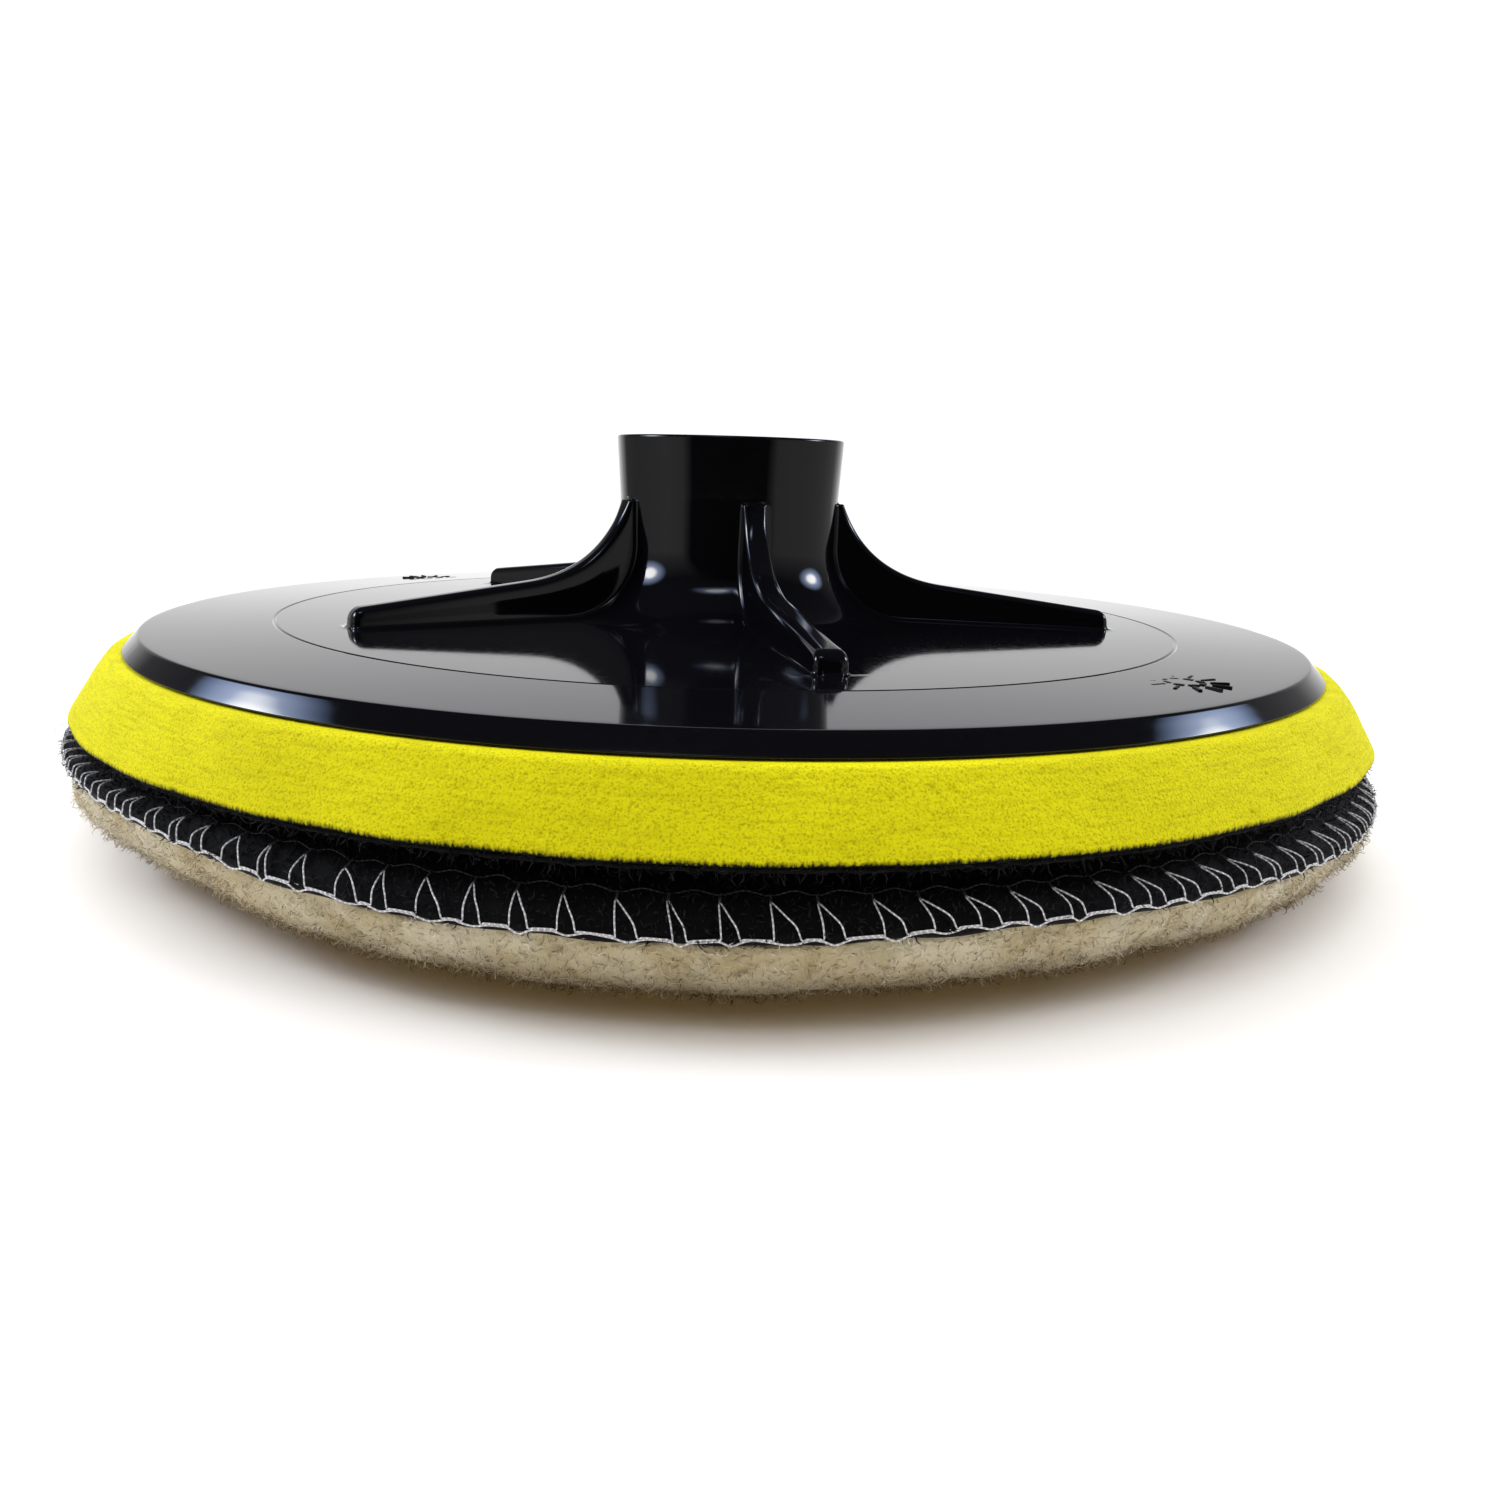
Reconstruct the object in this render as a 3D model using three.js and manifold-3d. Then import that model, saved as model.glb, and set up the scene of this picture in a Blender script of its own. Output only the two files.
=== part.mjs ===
// Polishing head of a rotary polisher: a moulded backing plate with a threaded steel insert,
// a foam cushion faced with hook tape, and a wool pad with a loop backing and an overlocked edge.
//
// Millimetres. The spindle axis is Z and the wool's polishing face lies on Z = 0.

import * as THREE from 'three';
import { mergeVertices } from 'three/addons/utils/BufferGeometryUtils.js';
import Module from 'manifold-3d';

const wasm = await Module();
wasm.setup();

// ---------------------------------------------------------------- driving dimensions

// Wool pad, from the polishing face upwards
const PAD_OVERHANG = 1.2; // cut edge of both cloths, outside the foam's lower edge
const PILE_DEPTH = 11; // wool under the ground cloth, at the middle
const PILE_INSET = 1.2; // widest wool inside the cut edge
const PILE_ROUND_RUN = 15; // width of the rounded wool edge
const GROUND_THICKNESS = 0.8;
const PAD_FILM = 0.3; // laminating adhesive between the two cloths
const LOOP_THICKNESS = 1.5;
const DROOP_RUN = 7.2; // width of the edge that the stitching pulls down
const EDGE_DROOP = 3.3;

// Overlock stitching round the cut edge
const SEAM_INSET = 2.8; // needle line inside the cut edge
const THREAD_RADIUS = 0.25;
const THREAD_BAND = 0.4; // thickness of a band of looper thread
const SOFT_GAP = 0.3; // soft layers and threads stay this far apart

// Hook tape and foam cushion
const ENGAGEMENT_GAP = 0.3; // hooks to loops at rest
const HOOK_THICKNESS = 1.5;
const HOOK_INSET = 0.9; // hook tape inside the foam's lower edge
const HOOK_FILM = 0.25;
const FOAM_THICKNESS = 7.6;
const FOAM_LEDGE = 0.95; // foam showing outside the plate
const FOAM_FLARE = 5.1; // how much wider the foam is at the bottom
const FOAM_BELLY = 0.35; // how far the foam's side bows outwards
const PLATE_FILM = 0.25;
const FILM_INSET = 1.5; // each adhesive film stops this far inside the piece above it

// Backing plate
const PLATE_RADIUS = 82; // flat top, out to the start of the bevel
const BEVEL_RUN = 1.95;
const BEVEL_DROP = 2.1;
const PLATE_SKIRT = 0.1; // straight edge under the bevel
const SHOULDER_RISE = 0.5; // plate top at the witness line, above the bevel
const CROWN_RISE = 0.9; // plate top at the foot of the hub flare, above the bevel
const WITNESS_INSET = 16.6; // fine moulded line, inside the start of the bevel
const WITNESS_WIDTH = 0.5;
const WITNESS_DEPTH = 0.12;

// Hub
const HUB_RADIUS = 16.4;
const HUB_RISE = 26.7; // hub top above the bevel
const HUB_CHAMFER = 0.4;
const FLARE_RADIUS = 10.5; // concave sweep from plate to hub

// Gusset ribs
const RIB_COUNT = 5;
const FIRST_RIB_DEGREES = -78;
const RIB_END_RADIUS = 57;
const RIB_END_HEIGHT = 3.2; // rib top at its outer end, above the bevel
const RIB_TOP_SLOPE = 0.12; // rise per millimetre towards the hub
const RIB_SWEEP_RUN = 16; // hub wall to where the steep part of the rib begins
const RIB_KNEE_RUN = 4.8; // hub wall to the crossing of the rib's two tangents
const RIB_HUB_DROP = 9.1; // rib top at the hub wall, below the hub top
const RIB_SHOULDER = 1; // short level top where the rib meets the hub
const RIB_ROOT_THICKNESS = 3.2;
const RIB_TIP_THICKNESS = 4;
const RIB_EDGE = 0.6; // broken edge along the rib
const RIB_SINK = 1.2; // depth of the rib's foot inside the plate

// Threaded insert, M14 x 2, moulded into the hub
const THREAD_PITCH = 2;
const THREAD_MINOR_RADIUS = 5.92;
const THREAD_MAJOR_RADIUS = 7;
const INSERT_ACROSS_FLATS = 20;
const INSERT_NECK_RADIUS = 8.6;
const INSERT_HEAD = 7; // length of each hexagonal end
const INSERT_RECESS = 0.5; // insert top below the hub top
const INSERT_LEAD_IN = 1.3; // countersink depth at both mouths
const MOULD_GAP = 0.3; // plastic to steel
const RELIEF_RADIUS = 7.7; // clear bore under the insert
const RELIEF_DEPTH = 3.2;
const HUB_FLOOR = 3.2; // plastic under the relief

// Facets
const ROUND_STEPS = 72;
const ARC_STEPS = 6;
const SOFT_STEPS = 4;
const THREAD_COLUMNS = 24;
const MERGE_DISTANCE = 1e-4;

// ---------------------------------------------------------------- levels and radii that follow

const groundBottom = PILE_DEPTH + SOFT_GAP;
const groundTop = groundBottom + GROUND_THICKNESS;
const loopBottom = groundTop + PAD_FILM;
const loopTop = loopBottom + LOOP_THICKNESS;
const hookBottom = loopTop + ENGAGEMENT_GAP;
const hookTop = hookBottom + HOOK_THICKNESS;
const foamBottom = hookTop + HOOK_FILM;
const foamTop = foamBottom + FOAM_THICKNESS;
const plateBottom = foamTop + PLATE_FILM;
const bevelBottom = plateBottom + PLATE_SKIRT;
const rimLevel = bevelBottom + BEVEL_DROP;
const hubTop = rimLevel + HUB_RISE;
const insertTop = hubTop - INSERT_RECESS;
const reliefBottom = plateBottom + HUB_FLOOR;
const insertBottom = reliefBottom + RELIEF_DEPTH;

const plateEdgeRadius = PLATE_RADIUS + BEVEL_RUN;
const foamTopRadius = plateEdgeRadius + FOAM_LEDGE;
const foamBottomRadius = foamTopRadius + FOAM_FLARE;
const hookRadius = foamBottomRadius - HOOK_INSET;
const padRadius = foamBottomRadius + PAD_OVERHANG;
const droopStart = padRadius - DROOP_RUN;
const seamRadius = padRadius - SEAM_INSET;

// ---------------------------------------------------------------- solids

// Closed geometry to a solid that can be joined and cut.
function toSolid(geometry) {
  const bare = geometry.clone();
  bare.deleteAttribute('normal');
  bare.deleteAttribute('uv');
  const merged = mergeVertices(bare, MERGE_DISTANCE);
  const index = merged.index.array;
  const triangles = [];
  for (let i = 0; i < index.length; i += 3) {
    const [a, b, c] = index.slice(i, i + 3);
    if (a !== b && b !== c && c !== a) {
      triangles.push(a, b, c);
    }
  }
  return new wasm.Manifold(new wasm.Mesh({
    numProp: 3,
    vertProperties: new Float32Array(merged.attributes.position.array),
    triVerts: new Uint32Array(triangles),
  }));
}

function toGeometry(solid) {
  const mesh = solid.getMesh();
  const geometry = new THREE.BufferGeometry();
  geometry.setAttribute('position', new THREE.BufferAttribute(new Float32Array(mesh.vertProperties), 3));
  geometry.setIndex(new THREE.BufferAttribute(new Uint32Array(mesh.triVerts), 1));
  geometry.computeVertexNormals();
  return geometry;
}

// Revolves a list of [radius, z] pairs about Z. The list runs anticlockwise, with z upwards.
function revolve(profile) {
  const points = profile.map(([radius, z]) => new THREE.Vector2(radius, z));
  const geometry = new THREE.LatheGeometry(points, ROUND_STEPS);
  geometry.rotateX(Math.PI / 2);
  return toSolid(geometry);
}

// A solid disc whose edge runs straight from the lower radius to the upper one.
function disc(lowerRadius, upperRadius, bottom, top) {
  return revolve([[0, bottom], [lowerRadius, bottom], [upperRadius, top], [0, top]]);
}

// A straight prism about Z: six sides make a hexagon, many make a round bar.
function bar(radius, sides, bottom, top) {
  const geometry = new THREE.CylinderGeometry(radius, radius, top - bottom, sides);
  geometry.rotateX(Math.PI / 2);
  geometry.translate(0, 0, (top + bottom) / 2);
  return toSolid(geometry);
}

// Points along a circle in the [radius, z] plane, both ends included.
function arc(centreRadius, centreZ, size, fromDegrees, toDegrees, steps) {
  const points = [];
  for (let i = 0; i <= steps; i += 1) {
    const angle = THREE.MathUtils.degToRad(fromDegrees + (toDegrees - fromDegrees) * i / steps);
    points.push([centreRadius + size * Math.cos(angle), centreZ + size * Math.sin(angle)]);
  }
  return points;
}

// ---------------------------------------------------------------- wool pad

// Height of a cloth surface at a radius: level in the middle, pulled down at the edge.
function droopAt(radius) {
  const share = Math.max(0, radius - droopStart) / DROOP_RUN;
  return EDGE_DROOP * share * share;
}

// Radii at which a drooping surface is sampled, from the start of the droop outwards.
function droopRadii(outerRadius) {
  const radii = [];
  for (let i = 0; i <= SOFT_STEPS; i += 1) {
    radii.push(droopStart + (outerRadius - droopStart) * i / SOFT_STEPS);
  }
  return radii;
}

// A cloth of even thickness that droops at its edge.
function drapedCloth(outerRadius, bottom, top) {
  const radii = droopRadii(outerRadius);
  const under = radii.map((radius) => [radius, bottom - droopAt(radius)]);
  const over = radii.map((radius) => [radius, top - droopAt(radius)]).reverse();
  return revolve([[0, bottom], ...under, ...over, [0, top]]);
}

// A band of thread that lies along a drooping surface between two radii.
function threadBand(innerRadius, outerRadius, bottomAt) {
  const lowerInner = [innerRadius, bottomAt(innerRadius)];
  const lowerOuter = [outerRadius, bottomAt(outerRadius)];
  const upperOuter = [outerRadius, lowerOuter[1] + THREAD_BAND];
  const upperInner = [innerRadius, lowerInner[1] + THREAD_BAND];
  return revolve([lowerInner, lowerOuter, upperOuter, upperInner, lowerInner]);
}

// Underside of the looper thread that lies below the ground cloth.
function lowerBandBottom(radius) {
  return groundBottom - droopAt(radius) - SOFT_GAP - THREAD_BAND;
}

function buildWoolPile() {
  const outer = padRadius - PILE_INSET;
  const lipLevel = lowerBandBottom(outer) - SOFT_GAP;
  const round = [];
  for (let i = 0; i <= ARC_STEPS; i += 1) {
    const angle = (Math.PI / 2) * (i / ARC_STEPS);
    const radius = outer - PILE_ROUND_RUN * (1 - Math.sin(angle));
    round.push([radius, lipLevel * (1 - Math.cos(angle))]);
  }
  const step = seamRadius - SOFT_GAP;
  const underBand = [step, lowerBandBottom(seamRadius) - SOFT_GAP];
  const ceiling = droopRadii(step).map((radius) => [radius, PILE_DEPTH - droopAt(radius)]);
  return revolve([[0, 0], ...round, underBand, ...ceiling.reverse(), [0, PILE_DEPTH]]);
}

function buildNeedleThread() {
  const centreZ = loopTop - droopAt(seamRadius - THREAD_RADIUS) + SOFT_GAP + THREAD_RADIUS;
  const ring = arc(seamRadius, centreZ, THREAD_RADIUS, 0, 360, ARC_STEPS);
  return revolve([...ring.slice(0, -1), ring[0]]);
}

function buildUpperLooperThread() {
  const inner = seamRadius + THREAD_RADIUS + SOFT_GAP;
  return threadBand(inner, padRadius, (radius) => loopTop - droopAt(radius) + SOFT_GAP);
}

function buildLowerLooperThread() {
  return threadBand(seamRadius, padRadius - SOFT_GAP, lowerBandBottom);
}

// ---------------------------------------------------------------- hook tape and foam

function buildFoam() {
  const side = [];
  for (let i = 0; i <= SOFT_STEPS; i += 1) {
    const rise = i / SOFT_STEPS;
    const belly = FOAM_BELLY * Math.sin(Math.PI * rise);
    side.push([foamBottomRadius - FOAM_FLARE * rise + belly, foamBottom + FOAM_THICKNESS * rise]);
  }
  side[SOFT_STEPS][1] = foamTop;
  return revolve([[0, foamBottom], ...side, [0, foamTop]]);
}

// ---------------------------------------------------------------- backing plate

function plateProfile() {
  const witness = PLATE_RADIUS - WITNESS_INSET;
  const witnessTop = rimLevel + SHOULDER_RISE;
  const footRadius = HUB_RADIUS + FLARE_RADIUS;
  const footLevel = rimLevel + CROWN_RISE;
  return [
    [0, plateBottom],
    [plateEdgeRadius, plateBottom],
    [plateEdgeRadius, bevelBottom],
    [PLATE_RADIUS, rimLevel],
    [witness + WITNESS_WIDTH / 2, witnessTop],
    [witness, witnessTop - WITNESS_DEPTH],
    [witness - WITNESS_WIDTH / 2, witnessTop],
    ...arc(footRadius, footLevel + FLARE_RADIUS, FLARE_RADIUS, 270, 180, ARC_STEPS),
    [HUB_RADIUS, hubTop - HUB_CHAMFER],
    [HUB_RADIUS - HUB_CHAMFER, hubTop],
    [0, hubTop],
  ];
}

// Side view of one rib, with x along the radius and y as height.
function ribShape() {
  const buried = HUB_RADIUS / 2;
  const foot = plateBottom + PLATE_SKIRT + RIB_SINK;
  const endTop = rimLevel + RIB_END_HEIGHT;
  const sweepRadius = HUB_RADIUS + RIB_SWEEP_RUN;
  const kneeRadius = HUB_RADIUS + RIB_KNEE_RUN;
  const hubLevel = hubTop - RIB_HUB_DROP;
  const topAt = (radius) => endTop + RIB_TOP_SLOPE * (RIB_END_RADIUS - radius);
  const shape = new THREE.Shape();
  shape.moveTo(buried, foot);
  shape.lineTo(RIB_END_RADIUS, foot);
  shape.lineTo(RIB_END_RADIUS, endTop - RIB_EDGE);
  shape.lineTo(RIB_END_RADIUS - RIB_EDGE, topAt(RIB_END_RADIUS - RIB_EDGE));
  shape.lineTo(sweepRadius, topAt(sweepRadius));
  shape.quadraticCurveTo(kneeRadius, topAt(kneeRadius), HUB_RADIUS + RIB_SHOULDER, hubLevel);
  shape.lineTo(buried, hubLevel);
  shape.closePath();
  return shape;
}

function buildRib(index) {
  const depth = RIB_ROOT_THICKNESS - 2 * RIB_EDGE;
  const geometry = new THREE.ExtrudeGeometry(ribShape(), {
    depth,
    curveSegments: ARC_STEPS,
    bevelThickness: RIB_EDGE,
    bevelSize: RIB_EDGE,
    bevelOffset: -RIB_EDGE,
    bevelSegments: 1,
  });
  geometry.translate(0, 0, -depth / 2);
  geometry.rotateX(Math.PI / 2);
  const position = geometry.attributes.position;
  for (let i = 0; i < position.count; i += 1) {
    const share = (position.getX(i) - HUB_RADIUS) / (RIB_END_RADIUS - HUB_RADIUS);
    const widening = (RIB_TIP_THICKNESS / RIB_ROOT_THICKNESS - 1) * Math.max(0, share);
    position.setY(i, position.getY(i) * (1 + widening));
  }
  geometry.rotateZ(THREE.MathUtils.degToRad(FIRST_RIB_DEGREES + 360 * index / RIB_COUNT));
  return toSolid(geometry);
}

// The insert's outside, grown by a clearance: two hexagonal ends with a round neck between them.
function insertBlank(clearance, top) {
  const hexRadius = (INSERT_ACROSS_FLATS / 2 + clearance) / Math.cos(Math.PI / 6);
  const bottom = insertBottom - clearance;
  const upper = bar(hexRadius, 6, insertTop - INSERT_HEAD - clearance, top);
  const lower = bar(hexRadius, 6, bottom, insertBottom + INSERT_HEAD + clearance);
  const neck = bar(INSERT_NECK_RADIUS + clearance, ROUND_STEPS / 2, bottom, top);
  return upper.add(lower).add(neck);
}

function buildBackingPlate() {
  let plate = revolve(plateProfile());
  for (let index = 0; index < RIB_COUNT; index += 1) {
    plate = plate.add(buildRib(index));
  }
  const relief = bar(RELIEF_RADIUS, ROUND_STEPS / 2, reliefBottom, insertBottom);
  return plate.subtract(insertBlank(MOULD_GAP, hubTop + HUB_CHAMFER)).subtract(relief);
}

// ---------------------------------------------------------------- threaded insert

// One pitch of a 60 degree thread, as [radius, height] pairs from crest to crest.
function threadPitchProfile() {
  const flank = (THREAD_MAJOR_RADIUS - THREAD_MINOR_RADIUS) * Math.tan(Math.PI / 6);
  const flat = (THREAD_PITCH - 2 * flank) / 3;
  return [
    [THREAD_MINOR_RADIUS, 0],
    [THREAD_MINOR_RADIUS, 2 * flat],
    [THREAD_MAJOR_RADIUS, 2 * flat + flank],
    [THREAD_MAJOR_RADIUS, 3 * flat + flank],
  ];
}

// A right-handed screw that fills the thread's hollow, from below the bottom to above the top.
function threadedCore(bottom, top) {
  const profile = threadPitchProfile();
  const turns = Math.ceil((top - bottom) / THREAD_PITCH) + 2;
  const rows = turns * profile.length;
  const start = bottom - 1.5 * THREAD_PITCH;
  const positions = [];
  const columnStart = [];
  for (let column = 0; column < THREAD_COLUMNS; column += 1) {
    columnStart.push(positions.length / 3);
    const angle = 2 * Math.PI * column / THREAD_COLUMNS;
    const lift = start + THREAD_PITCH * column / THREAD_COLUMNS;
    const lastRow = column === 0 ? rows + profile.length : rows;
    for (let row = 0; row <= lastRow; row += 1) {
      const [radius, height] = profile[row % profile.length];
      const z = lift + height + THREAD_PITCH * Math.floor(row / profile.length);
      positions.push(radius * Math.cos(angle), radius * Math.sin(angle), z);
    }
  }
  const bottomCentre = positions.length / 3;
  positions.push(0, 0, start);
  const topCentre = bottomCentre + 1;
  positions.push(0, 0, start + THREAD_PITCH * (turns + 1));

  // The column after the last one is the first column, one pitch higher.
  const vertex = (column, row) => {
    return column < THREAD_COLUMNS ? columnStart[column] + row : columnStart[0] + row + profile.length;
  };
  const triangles = [];
  for (let column = 0; column < THREAD_COLUMNS; column += 1) {
    for (let row = 0; row < rows; row += 1) {
      triangles.push(vertex(column, row), vertex(column + 1, row), vertex(column + 1, row + 1));
      triangles.push(vertex(column, row), vertex(column + 1, row + 1), vertex(column, row + 1));
    }
    triangles.push(bottomCentre, vertex(column + 1, 0), vertex(column, 0));
    triangles.push(topCentre, vertex(column, rows), vertex(column + 1, rows));
  }
  for (let row = 0; row < profile.length; row += 1) {
    triangles.push(bottomCentre, vertex(0, row), vertex(0, row + 1));
    triangles.push(topCentre, vertex(0, rows + row + 1), vertex(0, rows + row));
  }
  const geometry = new THREE.BufferGeometry();
  geometry.setAttribute('position', new THREE.Float32BufferAttribute(positions, 3));
  geometry.setIndex(triangles);
  return toSolid(geometry);
}

// A cone that opens the thread's mouth, wide at one level and narrow at the other.
function leadIn(wideLevel, narrowLevel) {
  const wide = THREAD_MAJOR_RADIUS + MOULD_GAP;
  const narrow = THREAD_MINOR_RADIUS - MOULD_GAP;
  return wideLevel > narrowLevel
    ? disc(narrow, wide, narrowLevel, wideLevel)
    : disc(wide, narrow, wideLevel, narrowLevel);
}

function buildThreadedInsert() {
  return insertBlank(0, insertTop)
    .subtract(threadedCore(insertBottom, insertTop))
    .subtract(leadIn(insertTop, insertTop - INSERT_LEAD_IN))
    .subtract(leadIn(insertBottom, insertBottom + INSERT_LEAD_IN));
}

// ---------------------------------------------------------------- assembly

const FINISHES = {
  glossBlack: { color: 0x17161b, roughness: 0.18, metalness: 0 },
  turnedSteel: { color: 0xb9bcc0, roughness: 0.35, metalness: 1 },
  clearGlue: { color: 0xd9d2b4, roughness: 0.4, metalness: 0 },
  yellowFoam: { color: 0xe6e01c, roughness: 0.95, metalness: 0 },
  blackPile: { color: 0x18181c, roughness: 1, metalness: 0 },
  unbleachedCloth: { color: 0xd9d0b8, roughness: 1, metalness: 0 },
  creamWool: { color: 0xe6dcc2, roughness: 1, metalness: 0 },
  whiteThread: { color: 0xf4f2ec, roughness: 0.8, metalness: 0 },
};

function piece(name, solid, finish) {
  const mesh = new THREE.Mesh(toGeometry(solid), new THREE.MeshStandardMaterial(finish));
  mesh.name = name;
  return mesh;
}

function buildPlateAssembly() {
  const assembly = new THREE.Group();
  const plateFilmRadius = plateEdgeRadius - FILM_INSET;
  const hookFilmRadius = hookRadius - FILM_INSET;
  const plateFilm = disc(plateFilmRadius, plateFilmRadius, foamTop, plateBottom);
  const hookFilm = disc(hookFilmRadius, hookFilmRadius, hookTop, foamBottom);
  assembly.add(piece('backing_plate', buildBackingPlate(), FINISHES.glossBlack));
  assembly.add(piece('threaded_insert', buildThreadedInsert(), FINISHES.turnedSteel));
  assembly.add(piece('plate_adhesive', plateFilm, FINISHES.clearGlue));
  assembly.add(piece('foam_cushion', buildFoam(), FINISHES.yellowFoam));
  assembly.add(piece('hook_adhesive', hookFilm, FINISHES.clearGlue));
  assembly.add(piece('hook_tape', disc(hookRadius, hookRadius, hookBottom, hookTop), FINISHES.blackPile));
  return assembly;
}

function buildWoolPad() {
  const pad = new THREE.Group();
  const padFilmRadius = droopStart - FILM_INSET;
  const padFilm = disc(padFilmRadius, padFilmRadius, groundTop, loopBottom);
  const groundCloth = drapedCloth(padRadius, groundBottom, groundTop);
  const loopBacking = drapedCloth(padRadius, loopBottom, loopTop);
  pad.add(piece('loop_backing', loopBacking, FINISHES.blackPile));
  pad.add(piece('pad_adhesive', padFilm, FINISHES.clearGlue));
  pad.add(piece('ground_cloth', groundCloth, FINISHES.unbleachedCloth));
  pad.add(piece('wool_pile', buildWoolPile(), FINISHES.creamWool));
  pad.add(piece('needle_thread', buildNeedleThread(), FINISHES.whiteThread));
  pad.add(piece('upper_looper_thread', buildUpperLooperThread(), FINISHES.whiteThread));
  pad.add(piece('lower_looper_thread', buildLowerLooperThread(), FINISHES.whiteThread));
  return pad;
}

const group = new THREE.Group();
group.add(buildPlateAssembly());
group.add(buildWoolPad());

export default group;
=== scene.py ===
import logging
import math
from dataclasses import dataclass
from enum import Enum

import bmesh
import bpy
import numpy as np
from mathutils import Matrix, Vector


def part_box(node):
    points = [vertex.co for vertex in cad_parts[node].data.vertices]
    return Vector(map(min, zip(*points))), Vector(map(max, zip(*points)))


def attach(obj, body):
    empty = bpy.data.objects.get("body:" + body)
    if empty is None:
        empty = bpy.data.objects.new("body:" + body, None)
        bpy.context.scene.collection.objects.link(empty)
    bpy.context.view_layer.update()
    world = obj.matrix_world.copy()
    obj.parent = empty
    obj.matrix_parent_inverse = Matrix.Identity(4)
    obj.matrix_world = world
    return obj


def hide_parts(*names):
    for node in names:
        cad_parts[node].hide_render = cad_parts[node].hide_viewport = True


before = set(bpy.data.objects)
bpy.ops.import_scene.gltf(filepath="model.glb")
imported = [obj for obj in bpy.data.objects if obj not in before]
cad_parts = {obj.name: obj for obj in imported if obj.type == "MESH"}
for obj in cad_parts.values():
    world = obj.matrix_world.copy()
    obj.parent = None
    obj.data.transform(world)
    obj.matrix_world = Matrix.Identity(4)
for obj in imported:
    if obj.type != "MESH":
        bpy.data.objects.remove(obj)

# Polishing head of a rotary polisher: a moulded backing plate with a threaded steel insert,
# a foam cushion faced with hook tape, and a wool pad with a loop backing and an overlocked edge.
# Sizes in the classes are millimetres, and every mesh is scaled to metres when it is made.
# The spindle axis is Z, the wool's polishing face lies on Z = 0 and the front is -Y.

MM = 0.001
PLATE_BODY = "plate_assembly"
PAD_BODY = "wool_pad"
LOG = logging.getLogger("polishing_head")
Outline = list[tuple[float, float]]


# ---------------------------------------------------------------- helpers

def linear(code: str) -> tuple[float, float, float, float]:
    """Turns an sRGB hex code into linear RGBA.

    Args:
        code: A colour such as "#d8d40f".

    Returns:
        Red, green, blue and an alpha of 1.
    """
    channels = [int(code[start:start + 2], 16) / 255 for start in (1, 3, 5)]
    rgb = [c / 12.92 if c <= 0.04045 else ((c + 0.055) / 1.055) ** 2.4 for c in channels]
    return (rgb[0], rgb[1], rgb[2], 1.0)


def add(tree: bpy.types.NodeTree, kind: str, links: dict | None = None, **settings) -> bpy.types.Node:
    """Adds one node with its settings and fills its inputs.

    Args:
        tree: The node tree to add to.
        kind: The node's type name.
        links: Input name or index, and the output socket to link or the value to set.
        **settings: Properties of the node itself; "stops" are positions and hex colours of a ramp.

    Returns:
        The new node.
    """
    node = tree.nodes.new(kind)
    for number, (position, colour) in enumerate(settings.pop("stops", [])):
        band = node.color_ramp.elements
        element = band[number] if number < len(band) else band.new(1.0)
        element.position, element.color = position, linear(colour)
    for name, value in settings.items():
        setattr(node, name, value)
    for key, value in (links or {}).items():
        if isinstance(value, bpy.types.NodeSocket):
            tree.links.new(value, node.inputs[key])
        else:
            node.inputs[key].default_value = value
    return node


def top_radius(node: str) -> float:
    """Gives a round CAD node's largest radius in millimetres."""
    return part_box(node)[1].x / MM


def levels(node: str) -> tuple[float, float]:
    """Gives a CAD node's lowest and highest level in millimetres."""
    low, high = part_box(node)
    return low.z / MM, high.z / MM


def arc(centre: tuple[float, float], size: float, start: float, end: float, steps: int) -> Outline:
    """Lists points along a circle in the [radius, z] plane, both ends included.

    Args:
        centre: Radius and z of the circle's centre.
        size: Radius of the circle.
        start: First angle in degrees.
        end: Last angle in degrees.
        steps: Number of stretches between the points.

    Returns:
        The points as (radius, z) pairs.
    """
    angles = np.radians(np.linspace(start, end, steps + 1))
    return [(centre[0] + size * math.cos(a), centre[1] + size * math.sin(a)) for a in angles]


def make_object(name: str, points: np.ndarray, faces: list) -> bpy.types.Object:
    """Makes a smooth-shaded mesh object at the origin from points in millimetres.

    Args:
        name: The piece's name.
        points: One row of x, y, z for each vertex.
        faces: Vertex numbers of each face.

    Returns:
        The object, linked to the scene.
    """
    mesh = bpy.data.meshes.new(name)
    mesh.from_pydata((np.asarray(points, dtype=float) * MM).tolist(), [], faces)
    mesh.validate()
    mesh.polygons.foreach_set("use_smooth", [True] * len(mesh.polygons))
    mesh.update()
    piece = bpy.data.objects.new(name, mesh)
    bpy.context.scene.collection.objects.link(piece)
    return piece


def grid_faces(rows: int, columns: int, wrap: bool) -> list[tuple[int, int, int, int]]:
    """Lists the quads of a grid of vertices, row by row.

    Args:
        rows: Number of rows.
        columns: Number of columns.
        wrap: True where the last column joins the first.

    Returns:
        Four vertex numbers for each quad.
    """
    across = columns if wrap else columns - 1
    row, column = np.meshgrid(np.arange(rows - 1), np.arange(across), indexing="ij")
    row, column = row.ravel(), column.ravel()
    after = (column + 1) % columns
    quads = (row * columns + column, row * columns + after,
             (row + 1) * columns + after, (row + 1) * columns + column)
    return [tuple(quad) for quad in np.stack(quads, axis=1).tolist()]


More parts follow.
